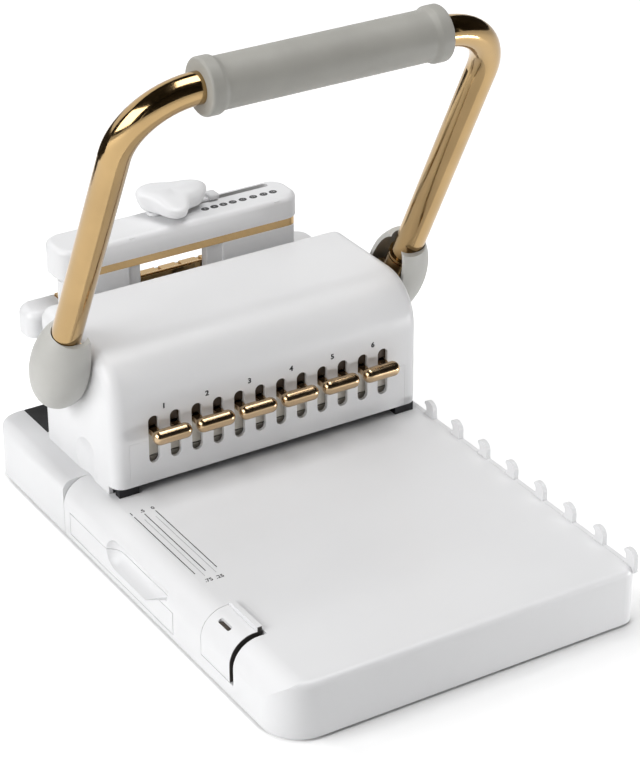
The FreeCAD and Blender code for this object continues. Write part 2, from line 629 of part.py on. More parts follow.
def build_handle():
    NODES["main_shaft"] = rod("x", (PIVOT_Y, PIVOT_Z), SHAFT_R, -LEG_X - 6, LEG_X + 6)

    arms = []
    rollers = []
    for s in (-1, 1):
        a, b = (48.0, 54.0) if s > 0 else (-54.0, -48.0)
        arms.append(crank(a, b, PUNCH_CRANK_R, PUNCH_CRANK_ANGLE, 11.0, 4.8))
        y, z = pivot_point(PUNCH_CRANK_R, PUNCH_CRANK_ANGLE)
        p0, p1 = (42.0, 54.0) if s > 0 else (-54.0, -42.0)
        pin = rod("x", (y, z), 2.0, p0, p1)
        r0, r1 = (42.0, 48.0) if s > 0 else (-48.0, -42.0)
        rollers.append(fuse([pin, rod("x", (y, z), ROLLER_R, r0, r1)]))
    NODES["punch_cranks"] = group(arms)
    arms = []
    for s in (-1, 1):
        near, mid, far = (LIFTER_MID + s * (LIFTER_X + d) for d in (-9.0, -3.0, 3.0))
        a, b = sorted((near, mid))
        arms.append(crank(a, b, JAW_CRANK_R, JAW_CRANK_ANGLE, 10.0, 4.8))
        y, z = pivot_point(JAW_CRANK_R, JAW_CRANK_ANGLE)
        p0, p1 = sorted((near, far))
        pin = rod("x", (y, z), 2.0, p0, p1)
        r0, r1 = sorted((mid, far))
        rollers.append(fuse([pin, rod("x", (y, z), ROLLER_R, r0, r1)]))
    NODES["jaw_cranks"] = group(arms)
    NODES["crank_rollers"] = group(rollers)

    a = math.radians(LEG_ANGLE)
    up = V(0, math.cos(a), math.sin(a))
    start = V(-LEG_X, PIVOT_Y, PIVOT_Z) + up * TUBE_START
    corner_l = V(-LEG_X, PIVOT_Y, PIVOT_Z) + up * LEG_LENGTH
    corner_r = V(LEG_X, PIVOT_Y, PIVOT_Z) + up * LEG_LENGTH
    end = V(LEG_X, PIVOT_Y, PIVOT_Z) + up * TUBE_START
    q = BEND_R * (1 - math.sqrt(0.5))
    across = V(1, 0, 0)
    path = Part.Wire([
        Part.makeLine(start, corner_l - up * BEND_R),
        Part.Arc(corner_l - up * BEND_R, corner_l - up * q + across * q, corner_l + across * BEND_R).toShape(),
        Part.makeLine(corner_l + across * BEND_R, corner_r - across * BEND_R),
        Part.Arc(corner_r - across * BEND_R, corner_r - up * q - across * q, corner_r - up * BEND_R).toShape(),
        Part.makeLine(corner_r - up * BEND_R, end),
    ])
    outer = path.makePipeShell([Part.Wire(Part.makeCircle(TUBE_R, start, up))], True, True)
    inner = path.makePipeShell([Part.Wire(Part.makeCircle(TUBE_R - TUBE_WALL, start, up))], True, True)
    NODES["handle_tube"] = outer.cut(inner)

    gy, gz = along_leg(LEG_LENGTH)
    rim = GRIP_HALF - 1.6
    neck = rim - GRIP_RIM
    body = neck - GRIP_BLEND

    def at(x, r):
        return V(x, gy + r, gz)

    def corner(x0, r0, x1, r1, x2, r2):
        return Part.Arc(at(x0, r0), at(x1, r1), at(x2, r2)).toShape()

    def blend(x0, r0, x1, r1):
        curve = Part.BSplineCurve()
        points = [at(x0, r0), at((x0 + x1) / 2, (r0 + r1) / 2), at(x1, r1)]
        curve.interpolate(points, InitialTangent=V(3, 0, 0), FinalTangent=V(3, 0, 0))
        return curve.toShape()

    q = 1.6 * (1 - math.sqrt(0.5))
    closed = Part.Wire([
        Part.makeLine(at(-GRIP_HALF, TUBE_R), at(-GRIP_HALF, GRIP_END_R - 1.6)),
        corner(-GRIP_HALF, GRIP_END_R - 1.6, -GRIP_HALF + q, GRIP_END_R - q, -rim, GRIP_END_R),
        Part.makeLine(at(-rim, GRIP_END_R), at(-neck, GRIP_END_R)),
        blend(-neck, GRIP_END_R, -body, GRIP_R),
        Part.makeLine(at(-body, GRIP_R), at(body, GRIP_R)),
        blend(body, GRIP_R, neck, GRIP_END_R),
        Part.makeLine(at(neck, GRIP_END_R), at(rim, GRIP_END_R)),
        corner(rim, GRIP_END_R, GRIP_HALF - q, GRIP_END_R - q, GRIP_HALF, GRIP_END_R - 1.6),
        Part.makeLine(at(GRIP_HALF, GRIP_END_R - 1.6), at(GRIP_HALF, TUBE_R)),
        Part.makeLine(at(GRIP_HALF, TUBE_R), at(-GRIP_HALF, TUBE_R)),
    ])
    NODES["grip"] = Part.Face(closed).revolve(V(0, gy, gz), V(1, 0, 0), 360)

    turn = FreeCAD.Rotation(V(1, 0, 0), LEG_ANGLE - 90.0)
    screws = []
    for name, s in (("left", -1), ("right", 1)):
        x0, x1 = (CAP_INNER_X + 2.0, LEG_X + 6.0) if s > 0 else (-LEG_X - 6.0, -CAP_INNER_X - 2.0)
        boss = rod("x", (PIVOT_Y, PIVOT_Z), 11.5, x0, x1)
        stem = Part.makeCylinder(TUBE_R - TUBE_WALL, 22.0, V(s * LEG_X, PIVOT_Y, PIVOT_Z) + up * 6.0, up)
        foot = V(s * LEG_X, PIVOT_Y, PIVOT_Z)
        sleeve = Part.makeCylinder(TUBE_R + 1.2, TUBE_START - 7.5, foot + up * 5.0, up)
        neck = Part.makeCylinder(TUBE_R + 0.3, TUBE_START - 5.0, foot + up * 5.0, up)
        ring = Part.makeCylinder(TUBE_R + 1.2, 1.5, foot + up * (TUBE_START - 1.5), up)
        hub = fuse([boss, stem, sleeve, neck, ring])
        NODES["crank_hub_" + name] = cut(hub, [rod("x", (PIVOT_Y, PIVOT_Z), SHAFT_R, -200, 200)])

        cy, cz = along_leg(CAP_UP)
        place = FreeCAD.Placement(V(s * CAP_X, cy, cz), turn)
        egg = egg_form(CAP_R, CAP_LONG)
        core = egg_form(CAP_R - CAP_WALL, CAP_LONG - CAP_WALL)
        egg.Placement = place
        core.Placement = place
        inner = box(-CAP_INNER_X, CAP_INNER_X, -100, 200, 0, 300)
        brow = box(-40, 40, -60, 60, 0, 60)
        fy, fz = along_leg(CAP_TOP)
        brow.Placement = FreeCAD.Placement(V(s * LEG_X, fy, fz), turn)
        pad_x0, pad_x1 = (LEG_X + 6.0, LEG_X + 13.5) if s > 0 else (-LEG_X - 13.5, -LEG_X - 6.0)
        pad = rod("x", (PIVOT_Y, PIVOT_Z), 6.0, pad_x0, pad_x1)
        hole = Part.makeCylinder(TUBE_R + 0.3, 90.0, V(s * LEG_X, PIVOT_Y, PIVOT_Z) + up * 4.0, up)
        shell = egg.cut(core).fuse(pad.common(egg))
        screw_hole = rod("x", (PIVOT_Y, PIVOT_Z), 1.6, -LEG_X - 10.7, LEG_X + 10.7)
        shell = shell.cut([inner, brow, hole, screw_hole])
        solids = sorted(shell.Solids, key=lambda t: -t.Volume)
        NODES["pivot_cap_" + name] = solids[0]
        h0, h1 = (LEG_X + 1.0, LEG_X + 10.5) if s > 0 else (-LEG_X - 10.5, -LEG_X - 1.0)
        screws.append(rod("x", (PIVOT_Y, PIVOT_Z), 1.6, h0, h1))
    NODES["cap_screws"] = group(screws)
    NODES["main_shaft"] = cut(NODES["main_shaft"], screws)


def build_carriage():
    half, y0, y1, z0, z1 = CARRIAGE
    block = box(-half, half, y0, y1, z0, z1)
    tools = []
    for i in range(SLOT_COUNT):
        x = slot_x(i)
        tools.append(box(x - 2.6, x + 2.6, y0 - 1, 17.2, KNOB_Z - 2.5, KNOB_Z + 2.5))
        tools.append(rod("z", (x, PUNCH_Y), PUNCH_D / 2, 0, KNOB_Z - 2.5))
    for s in (-1, 1):
        tools.append(rod("z", (s * ROD_X, ROD_Y), ROD_R + RUN_FIT, 0, 120))
        tools.append(rod("z", (s * ROD_X, ROD_Y), 5.4, 0, 73.0))
    for x in (-60, -25, 25, 60):
        tools.append(box(x - 8, x + 8, 21, 29, z0 - 1, z1 - 4))
    NODES["punch_carriage"] = cut(block, tools)

    reach = slot_x(SLOT_COUNT - 1) + SLOT_W
    sheet = box(-reach, reach, APRON_Y, APRON_Y + APRON_T, APRON_LOW, z1)
    web = box(-reach, reach, APRON_Y, y0, z1 - APRON_T, z1)
    ports = []
    for i in range(SLOT_COUNT):
        ports.append(box(slot_x(i) - 2.6, slot_x(i) + 2.6, 0, y0, KNOB_Z - 2.5, KNOB_Z + 2.5))
    NODES["slot_apron"] = cut(fuse([sheet, web]), ports)
    NODES["slot_screen"] = box(-reach, reach, SCREEN_Y, SCREEN_Y + 1, PLATFORM_Z + THROAT + 6, SCREEN_TOP)

    punches = []
    for i in range(SLOT_COUNT):
        x = slot_x(i)
        pin = rod("z", (x, PUNCH_Y), PUNCH_D / 2, 39.2, KNOB_Z - 2.5)
        notch = Part.makeCylinder(9.0, 10, V(x - 5, PUNCH_Y, 39.2 - 8.0), V(1, 0, 0))
        punches.append(cut(pin, [notch]))
    NODES["punches"] = group(punches)

    forks = []
    lo = pivot_point(PUNCH_CRANK_R, PUNCH_CRANK_ANGLE)[1]
    h = ROLLER_R + YOKE_PLAY
    for s in (-1, 1):
        pts = [
            (17.0, z1), (17.0, 101.0), (20.0, 105.2), (21.5, lo + h + 2.0),
            (31.2, lo + h + 2.0), (31.2, lo + h), (21.6, lo + h),
            (21.6, lo - h), (31.2, lo - h), (31.2, lo - h - 5.0), (29.0, 88.0), (29.0, z1),
        ]
        a, b = (42.5, 47.5) if s > 0 else (-47.5, -42.5)
        forks.append(profile_x(pts, a, b))
    NODES["yoke_forks"] = group(forks)


def build_knobs():
    for k in range(6):
        x0 = slot_x(2 * k)
        x1 = slot_x(2 * k + 1)
        mid = (x0 + x1) / 2
        bar = rod("x", (SELECTOR_Y, KNOB_Z + SELECTOR_RISE), SELECTOR_R, mid - SELECTOR_HALF, mid + SELECTOR_HALF)
        bar = rounded_edges(bar, SELECTOR_R - 0.4, lambda e: e.BoundBox.XMax - e.BoundBox.XMin < 1e-6)
        prongs = []
        for x in (x0, x1):
            prongs.append(box(x - 2.2, x + 2.2, SELECTOR_Y + 1.0, 16.0, KNOB_Z - PRONG_H, KNOB_Z + PRONG_H))
        NODES["selector_%d" % (k + 1)] = fuse([bar] + prongs)


def knob_outline(scale, z):
    """Three soft lobes about the clamp stem, as a closed wire at one height."""
    points = []
    for x, y in KNOB_LOBES:
        points.append(V(STOP_X + x * scale, STOP_SLOT_Y - 1.0 + (y + 1.0) * scale, z))
    curve = Part.BSplineCurve()
    curve.interpolate(points, PeriodicFlag=True)
    return Part.Wire(curve.toShape())


def build_closer():
    wall = box(-BAR_HALF, 70, BAR_FRONT, BAR_FRONT + WALL_T, PLATFORM_Z - 1.2, GOLD_BOTTOM)
    wall = rounded_edges(
        wall, 3.0,
        lambda e: e.BoundBox.ZMax - e.BoundBox.ZMin > 50 and e.BoundBox.YMin < BAR_FRONT + 0.1,
    )
    tools = [box(-27.4, 14.0, BAR_FRONT - 5, BAR_REAR, 84.0, 160)]
    for s in (-1, 1):
        x = LIFTER_MID + s * LIFTER_X
        tools.append(box(x - 3.5, x + 3.5, BAR_FRONT - 5, BAR_REAR, 81.5, 106.4))
    for x in (-50, 0, 46):
        tools.append(box(x - 11, x + 11, BAR_FRONT + 2.5, BAR_REAR, 44, 76))
    step = []
    for x0, x1 in ((-34.8, -27.4), (14, 23.4)):
        step.append(box(x0, x1, BAR_FRONT - 1, BAR_FRONT + 1.2, 84, 160))
    NODES["closer_frame"] = cut(wall, tools + step)

    gold = plan_slab(
        -BAR_HALF + BAR_END, BAR_HALF - 2.5, BAR_FRONT + 0.3, BAR_REAR - 0.5, GOLD_BOTTOM, GOLD_TOP,
        [0.6, 6.0, 6.0, 0.6],
    )
    comb = []
    for i in range(SLOT_COUNT):
        x = slot_x(i)
        comb.append(box(x - 2.6, x + 2.6, BAR_REAR - 6, BAR_REAR + 2, GOLD_BOTTOM - 1, GOLD_BOTTOM + 1.5))
    NODES["upper_jaw_plate"] = cut(gold, comb)

    bar = plan_slab(-BAR_HALF, BAR_HALF, BAR_FRONT, BAR_REAR, GOLD_TOP, BAR_TOP, [10.0] * 4)
    whole = plan_slab(-BAR_HALF, BAR_HALF, BAR_FRONT, BAR_REAR, GOLD_BOTTOM, GOLD_TOP + 1, [10.0] * 4)
    cheek = whole.common(box(-BAR_HALF, -BAR_HALF + BAR_END - 0.1, 0, 2 * BAR_REAR, 0, 2 * BAR_TOP))
    bar = rounded_edges(bar, 3.2, lambda e: abs(e.BoundBox.ZMin - BAR_TOP) < 1e-6)
    hollow = plan_slab(
        -BAR_HALF + 3, BAR_HALF - 3, BAR_FRONT + 3, BAR_REAR - 3, GOLD_TOP - 1, BAR_TOP - 3, [7.0] * 4,
    )
    slot = box(-6, 62, STOP_SLOT_Y - 2, STOP_SLOT_Y + 2, GOLD_TOP, BAR_TOP + 5)
    slot = slot.fuse([
        rod("z", (-6, STOP_SLOT_Y), 2.0, GOLD_TOP, BAR_TOP + 5),
        rod("z", (62, STOP_SLOT_Y), 2.0, GOLD_TOP, BAR_TOP + 5),
    ])
    pillars = []
    for x in BAR_SCREW_X:
        pillars.append(rod("z", (x, BAR_SCREW_Y), 3.4, GOLD_TOP, BAR_TOP - 1))
    NODES["top_bar"] = cut(bar.cut(hollow).fuse(pillars + [cheek]), [slot] + [
        rod("z", (x, BAR_SCREW_Y), 1.5, GOLD_TOP - 1, BAR_TOP - 4) for x in BAR_SCREW_X
    ])
    bolts = []
    for x in BAR_SCREW_X:
        bolts.append(rod("z", (x, BAR_SCREW_Y), 1.5, GOLD_BOTTOM - 14.4, BAR_TOP - 4))
    NODES["bar_screws"] = group(bolts)
    NODES["upper_jaw_plate"] = cut(NODES["upper_jaw_plate"], bolts)
    NODES["closer_frame"] = cut(NODES["closer_frame"], bolts)

    stem = rod("z", (STOP_X, STOP_SLOT_Y), 1.7, BAR_TOP - 5.0, BAR_TOP + 8.0)
    shoe = plan_slab(
        STOP_X - 14, STOP_X + 14, STOP_SLOT_Y - 5.5, STOP_SLOT_Y + 4.0, BAR_TOP + 0.3, BAR_TOP + 2.3, [4.0] * 4,
    )
    nut = box(STOP_X - 5, STOP_X + 5, STOP_SLOT_Y - 2.8, STOP_SLOT_Y + 2.2, BAR_TOP - 8.0, BAR_TOP - 3.4)
    NODES["size_slider"] = fuse([stem, shoe, nut])

    low = BAR_TOP + 2.6
    high = BAR_TOP + KNOB_HEIGHT
    wing = Part.makeLoft([knob_outline(KNOB_TAPER, low), knob_outline(1.0, high)], True)
    wing = rounded_edges(wing, 2.0, lambda e: abs(e.BoundBox.ZMin - high) < 1e-6)
    bore = rod("z", (STOP_X, STOP_SLOT_Y), 1.7 + RUN_FIT, 0, BAR_TOP + 8.4)
    NODES["size_knob"] = cut(wing, [bore])

    pocket = []
    lifters = []
    pin_z = pivot_point(JAW_CRANK_R, JAW_CRANK_ANGLE)[1]
    h = ROLLER_R + YOKE_PLAY
    for s in (-1, 1):
        a, b = LIFTER_MID + s * LIFTER_X - 2.5, LIFTER_MID + s * LIFTER_X + 2.5
        pts = [
            (47.3, pin_z - h - 3.6), (47.3, pin_z - h), (53.6, pin_z - h), (53.6, pin_z + h), (47.3, pin_z + h),
            (47.3, pin_z + h + 3.4), (58.0, pin_z + h + 3.4), (66.0, 94.0), (LIFTER_REAR, 94.0),
            (LIFTER_REAR, 84.0), (68.0, 84.0), (60.0, pin_z - h - 3.6),
        ]
        lifters.append(profile_x(pts, a, b))
        pocket.append(box(a, b, JAW_FRONT - 1, LIFTER_REAR, 84.0, 94.0))
    NODES["jaw_lifters"] = group(lifters)

    jaw = plan_slab(-JAW_HALF, JAW_HALF, JAW_FRONT, JAW_REAR, JAW_BOTTOM, JAW_TOP, [7.0, 7.0, 9.0, 9.0])
    jaw = rounded_edges(jaw, 5.0, lambda e: abs(e.BoundBox.ZMin - JAW_TOP) < 1e-6)
    bosses = [rod("z", (s * POST_X, POST_Y), 7.5, 60.0, JAW_BOTTOM + 1) for s in (-1, 1)]
    bores = [rod("z", (s * POST_X, POST_Y), POST_R + RUN_FIT, 50, 95.5) for s in (-1, 1)]
    wide = JAW_PLATE_HALF
    seat = box(-wide, wide, JAW_FRONT - 1, JAW_PLATE_REAR, JAW_TOP - 2.0, JAW_TOP + 5)
    NODES["lower_jaw_bar"] = cut(jaw.fuse(bosses), pocket + bores + [seat])
    plate = box(-wide, wide, JAW_FRONT, JAW_PLATE_REAR, JAW_TOP - 2.0, JAW_TOP + 1.2)
    top = JAW_TOP + 5.7
    fence = box(-wide, wide, JAW_FRONT, JAW_FRONT + 3.0, JAW_TOP + 1.0, top)
    fence = rounded_edges(fence, 1.2, lambda e: e.BoundBox.XLength > 50 and e.BoundBox.ZMin > top - 0.1)
    teeth = []
    for i in range(SLOT_COUNT):
        x = slot_x(i)
        teeth.append(box(x - 1.3, x + 1.3, JAW_FRONT + 6, JAW_REAR + 2, JAW_TOP + 0.2, JAW_TOP + 3))
    NODES["lower_jaw_plate"] = cut(fuse([plate, fence]), teeth)

    posts = []
    for s in (-1, 1):
        post = rod("z", (s * POST_X, POST_Y), POST_R, 20.0, 92.0)
        posts.append(post.makeChamfer(0.8, [e for e in post.Edges if e.BoundBox.ZMin > 91.9]))
    NODES["jaw_posts"] = group(posts)


def build_slides():
    outer = base_outer(0.0)
    f, r = GUIDE_FRONT + GUIDE_GAP, GUIDE_REAR - 0.3
    block = outer.common(box(BASE_LEFT - 12, GUIDE_IN - 0.5, f, r, 9.5, 60))
    hollow = outer.common(box(BASE_LEFT + 5, GUIDE_IN - 4.0, f + 3, r - 3, 0, PLATFORM_Z - 4.5))
    lip = plan_slab(GUIDE_IN - 3.4, GUIDE_IN - 0.5, f, r, PLATFORM_Z - 3, PLATFORM_Z + 2.4, [1.0] * 4)
    notch = plan_slab(
        BASE_LEFT + 5.9, BASE_LEFT + 8.5, GUIDE_FRONT + 14.2, GUIDE_FRONT + 24.8, PLATFORM_Z - 7.0, 60, [1.2] * 4,
    )
    NODES["edge_guide"] = cut(block.cut(hollow).fuse(lip), [notch])
    rails = []
    for y0, y1 in ((-139.0, -134.0), (-125.0, -120.0)):
        rails.append(box(GUIDE_IN - 4.0, GUIDE_RAIL_X, y0, y1, 24.0, 28.0))
    NODES["guide_rails"] = group(rails)
    NODES["edge_guide"] = cut(NODES["edge_guide"], rails)
    strip = box(BASE_LEFT, GUIDE_IN, GUIDE_FRONT, GUIDE_FRONT + 0.8, 9.0, PLATFORM_Z)
    NODES["guide_buffer"] = base_outer(0.8).common(strip)

    x0, x1 = BASE_LEFT, DRAWER_RIGHT
    y0, y1, z0 = DRAWER_FRONT, DRAWER_REAR, 4.6
    tray = box(x0 + 9, x1, y0 + 1, y1 - 1, z0, DRAWER_TOP)
    tray = tray.cut(box(x0 + 11, x1 - 1.6, y0 + 2.6, y1 - 2.6, z0 + 1.6, 60))
    front = box(x0, x0 + 10, y0, y1, z0, DRAWER_TOP).common(outer)
    NODES["chip_drawer"] = tray
    NODES["drawer_front"] = cut(front, [scoop_form(), box(x0 + 9, x0 + 11, y0 + 1, y1 - 1, 0, 60)])


def check(name, shape):
    solids = shape.Solids
    if not solids or not all(s.isValid() for s in solids):
        print("WARNING", name, "solids", len(solids), [s.isValid() for s in solids])
    return len(solids)


def main():
    build_base()
    build_head()
    build_frame()
    build_handle()
    build_carriage()
    build_knobs()
    build_closer()
    build_slides()
    os.makedirs("parts", exist_ok=True)
    for name in sorted(NODES):
        shape = NODES[name].copy()
        shape.translate(V(0, -ORIGIN_Y, 0))
        count = check(name, shape)
        b = shape.BoundBox
        reach = (b.XMin, b.XMax, b.YMin, b.YMax, b.ZMin, b.ZMax)
        print(name, count, "x %.1f %.1f y %.1f %.1f z %.1f %.1f" % reach)
        shape.exportStep("parts/" + name + ".step")


main()
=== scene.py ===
import json
import math

import bpy
from mathutils import Matrix, Vector


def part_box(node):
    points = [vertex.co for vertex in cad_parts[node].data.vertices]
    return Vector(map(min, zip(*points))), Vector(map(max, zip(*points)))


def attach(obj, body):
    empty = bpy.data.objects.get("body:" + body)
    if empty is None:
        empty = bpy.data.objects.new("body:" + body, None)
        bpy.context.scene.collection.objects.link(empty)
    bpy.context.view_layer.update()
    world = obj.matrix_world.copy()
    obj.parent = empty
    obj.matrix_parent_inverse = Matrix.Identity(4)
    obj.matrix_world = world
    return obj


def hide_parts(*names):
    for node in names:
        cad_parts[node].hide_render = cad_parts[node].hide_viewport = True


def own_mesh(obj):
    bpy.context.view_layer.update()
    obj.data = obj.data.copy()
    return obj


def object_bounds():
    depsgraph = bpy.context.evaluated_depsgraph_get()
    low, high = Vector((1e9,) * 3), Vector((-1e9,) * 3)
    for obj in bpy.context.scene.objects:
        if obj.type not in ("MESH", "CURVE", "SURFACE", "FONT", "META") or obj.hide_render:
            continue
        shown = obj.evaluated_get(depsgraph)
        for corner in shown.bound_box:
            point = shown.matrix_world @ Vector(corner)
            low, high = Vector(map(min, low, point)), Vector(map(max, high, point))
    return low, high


bl_info = {
    "name": "Punch and Wire Binding Machine",
    "version": (1, 0, 0),
    "blender": (4, 5, 0),
    "location": "View3D > Sidebar > Binding Machine",
    "description": "Dresses the machine's frame with finishes, printed marks and a studio stage",
    "category": "Object",
}

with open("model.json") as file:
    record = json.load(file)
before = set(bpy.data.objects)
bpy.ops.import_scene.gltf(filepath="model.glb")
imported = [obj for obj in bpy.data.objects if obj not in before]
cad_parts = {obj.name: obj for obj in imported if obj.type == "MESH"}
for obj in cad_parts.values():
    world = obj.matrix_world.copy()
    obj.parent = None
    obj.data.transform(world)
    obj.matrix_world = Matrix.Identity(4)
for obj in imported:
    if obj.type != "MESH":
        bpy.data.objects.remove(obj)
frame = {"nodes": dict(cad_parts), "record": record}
CAD_BOX = [list(corner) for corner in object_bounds()]

MM = 0.001
HEAD_LOW = Vector(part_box("head_cover")[0])
DECK_LOW, DECK_HIGH = (Vector(c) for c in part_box("platform_cover"))
BAR_LOW, BAR_HIGH = (Vector(c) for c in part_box("top_bar"))
GUIDE_LOW, GUIDE_HIGH = (Vector(c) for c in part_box("edge_guide"))
KNOB_LOW, KNOB_HIGH = (Vector(c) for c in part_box("size_knob"))
SELECTORS = tuple("selector_%d" % k for k in range(1, 7))
SELECTOR_Z = sum(corner[2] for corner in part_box(SELECTORS[0])) / 2

# The measures below are in millimetres.

# Guide scale: half width of the lines, where they are across, and their ends from the head's front
MAIN_LINES = (0.24, (-92.65, -86.7, -80.3), -82.4, -18.8)
BETWEEN_LINES = (0.16, (-89.3, -82.9), -86.3, -23.8)
# Its figures, with their middles across and from the head's front
GUIDE_FIGURES = (
    ("1", -92.65, -15.8), (".5", -86.4, -15.8), ("0", -80.3, -15.8),
    (".75", -89.5, -90.6), (".25", -83.3, -90.6),
)
GUIDE_FIGURE_HEIGHT = 2.7

# Guide pad, a dark piece of painted shade in the thumb notch: its low corner from the guide's left,
# front and top, and its size
PAD_CORNER = (5.6, 11.6, -8.6)
PAD_SIZE = (3.2, 9.4, 3.4)

# Wire widths, where their marks are along the top bar, and the row's place behind the bar's front
SIZE_MARKS = (
    ("5", 18.6), ("6", 24.4), ("8", 30.1), ("10", 36.0),
    ("11", 42.3), ("13", 49.0), ("14", 55.6), ("16", 61.6),
)
MARK_ROW = 10.5
MARK_RIM = 0.3
# A mark's length along the depth of the bar and its figure's height, as shares of the mark's width
MARK_LENGTH, MARK_FIGURE = 0.9, 0.36

# The knob's outline about its clamp stem, with the middle that it narrows to
KNOB_OUTLINE = (
    (20.8, -6.6), (17.8, 1.0), (10.2, 3.2), (2.6, 4.4), (-3.8, 8.0),
    (-10.4, 10.4), (-17.6, 7.0), (-19.4, -0.5), (-14.0, -6.8), (-12.2, -13.6),
    (-8.4, -22.2), (1.0, -21.8), (4.8, -12.0), (13.6, -12.0),
)
KNOB_MIDDLE = (-1.0, -4.0)
# The knob's rings: height above the foot and share of the outline, from the foot up
KNOB_FOOT = 0.84
KNOB_RINGS = (
    (1.2, 0.9), (4.5, 0.98), (8.0, 1.04), (10.6, 1.02), (12.2, 0.88), (12.5, 0.6), (12.5, 0.3),
)
# The front lobe slopes down: where that starts, over what length, and by what share of the height
LOBE_START, LOBE_LENGTH, LOBE_DROP = -5.0, 16.0, 0.4
# The clamp stem from the middle of the knob's width and from its back
STEM_ACROSS, STEM_FROM_BACK = -0.1, -9.1

# Slider tab, a strip and its end stub: both ends along the bar from the stem, half width, and top
TAB_PIECES = ((13.0, 26.0, 2.8, 2.2), (22.6, 29.6, 3.9, 4.2))
TAB_LIFT = 0.3

# Return springs: radius of the wire, radius of the coil, and number of turns
SPRING_WIRE, SPRING_COIL, SPRING_TURNS = 0.55, 4.2, 9
# Sides of the wire, and steps in a turn
SPRING_SIDES, SPRING_STEPS = 10, 20

# The stage is in metres. Lamps: the setting with the power, place, aim, width and height
MACHINE_HEART = (0.0, 0.0, 0.1)
LAMPS = {
    "side_lamp": ("key", (-1.75, -0.03, 0.95), MACHINE_HEART, 1.7, 1.1),
    "top_lamp": ("top", (0.3, -0.05, 1.7), MACHINE_HEART, 1.1, 0.9),
    "fill_lamp": ("fill", (0.4, -0.33, 0.022), (0.08, -0.16, 0.022), 0.2, 0.036),
}
# Dark cards for the metal to mirror: place, aim, width and height
CARDS = {
    "card_front": ((0.0, -2.3, 1.4), (0.0, 0.0, 1.2), 4.6, 2.4),
    "card_right": ((2.3, 0.0, 1.4), (0.0, 0.0, 1.2), 4.6, 2.4),
    "card_left": ((-2.3, 0.0, 1.4), (0.0, 0.0, 1.2), 4.6, 2.4),
    "card_back": ((-0.34, 0.52, 0.15), (0.0, 0.0, 0.15), 0.75, 0.3),
    "card_over": ((0.0, 0.0, 2.4), (0.0, 0.0, 0.0), 4.6, 4.6),
}
CAMERA_PLACE = (-0.60583, -1.003031, 0.724169)
# Degrees to the right of straight back, downwards, and about the line of sight
CAMERA_TURN = (31.46, 28.34, -0.26)
SENSOR_WIDTH = 36.0

FLOOR_SIZE = 12.0
# Glow of the floor as it is seen, and how far from the base it takes to get there; the dimmer glow
# nearer the base is a painted shadow
FLOOR_GLOW, SHADOW_REACH = 0.42, 0.075
# The painted contact shadow, a dark line where the base meets the floor: its width and its share of
# the glow
CONTACT_WIDTH, CONTACT_SHARE = 0.0016, 0.3
# The floor goes on to white between these distances
WHITE_START, WHITE_STOP, WHITE_GLOW = 0.3, 1.6, 0.7
# Radius of the base's corners
CORNER = 26.0 * MM


class FinishSettings(bpy.types.PropertyGroup):
    """Colours of the machine"""

    white: bpy.props.FloatVectorProperty(
        name="White plastic", description="Colour of the moulded covers",
        subtype="COLOR", size=3, min=0.0, max=1.0, default=(0.786, 0.788, 0.797))
    warm_grey: bpy.props.FloatVectorProperty(
        name="Warm grey plastic", description="Colour of the grip",
        subtype="COLOR", size=3, min=0.0, max=1.0, default=(0.35, 0.342, 0.312))
    cap_grey: bpy.props.FloatVectorProperty(
        name="Cap grey", description="Colour of the pivot caps",
        subtype="COLOR", size=3, min=0.0, max=1.0, default=(0.5, 0.495, 0.468))
    gold: bpy.props.FloatVectorProperty(
        name="Gold plating", description="Colour of the handle tube, hubs and jaw plates",
        subtype="COLOR", size=3, min=0.0, max=1.0, default=(0.49, 0.333, 0.158))
    gold_roughness: bpy.props.FloatProperty(
        name="Gold roughness", description="How soft the reflections in the plating are",
        subtype="FACTOR", min=0.02, max=0.6, default=0.1)
    ink: bpy.props.FloatVectorProperty(
        name="Ink", description="Colour of the printed marks",
        subtype="COLOR", size=3, min=0.0, max=1.0, default=(0.018, 0.018, 0.02))


class PrintSettings(bpy.types.PropertyGroup):
    """Sizes of the printed marks"""

    number_height: bpy.props.FloatProperty(
        name="Number height", description="Height of the selector numbers",
        unit="LENGTH", min=0.001, max=0.01, default=3.0 * MM)
    number_rise: bpy.props.FloatProperty(
        name="Number rise", description="Middle of the numbers above the selectors' middle",
        unit="LENGTH", min=0.005, max=0.03, default=12.4 * MM)
    ink_depth: bpy.props.FloatProperty(
        name="Ink depth", description="Thickness of the printed ink film",
        unit="LENGTH", min=0.00001, max=0.0005, default=0.06 * MM)
    dot_width: bpy.props.FloatProperty(
        name="Size mark width", description="Width of a wire size mark on the top bar",
        unit="LENGTH", min=0.002, max=0.006, default=4.6 * MM)


class StageSettings(bpy.types.PropertyGroup):
    """Lens and lamps of the stage"""

    focal: bpy.props.FloatProperty(
        name="Focal length", description="Focal length of the camera in millimetres",
        min=20.0, max=300.0, default=122.74)
    ambient: bpy.props.FloatProperty(
        name="Ambient", description="Strength of the even light from all sides",
        min=0.0, max=2.0, default=0.15)
    key: bpy.props.FloatProperty(
        name="Side lamp", description="Power of the soft lamp at the left",
        unit="POWER", min=0.0, max=200.0, default=30.0)
    top: bpy.props.FloatProperty(
        name="Top lamp", description="Power of the soft lamp overhead",
        unit="POWER", min=0.0, max=200.0, default=17.0)
    fill: bpy.props.FloatProperty(
        name="Fill lamp", description="Power of the small low lamp at the front right",
        unit="POWER", min=0.0, max=200.0, default=0.8)


def deselect():
    if bpy.context.mode != "OBJECT":
        bpy.ops.object.mode_set(mode="OBJECT")
    bpy.ops.object.select_all(action="DESELECT")


def current(name):
    """Names the object that an operator has just added."""
    obj = bpy.context.active_object
    obj.name = name
    obj.data.name = name
    return obj


def pick(obj):
    deselect()
    obj.select_set(True)
    bpy.context.view_layer.objects.active = obj


def settle(obj):
    """Moves the object's place into its mesh."""
    pick(obj)
    bpy.ops.object.transform_apply(location=True, rotation=True, scale=True)


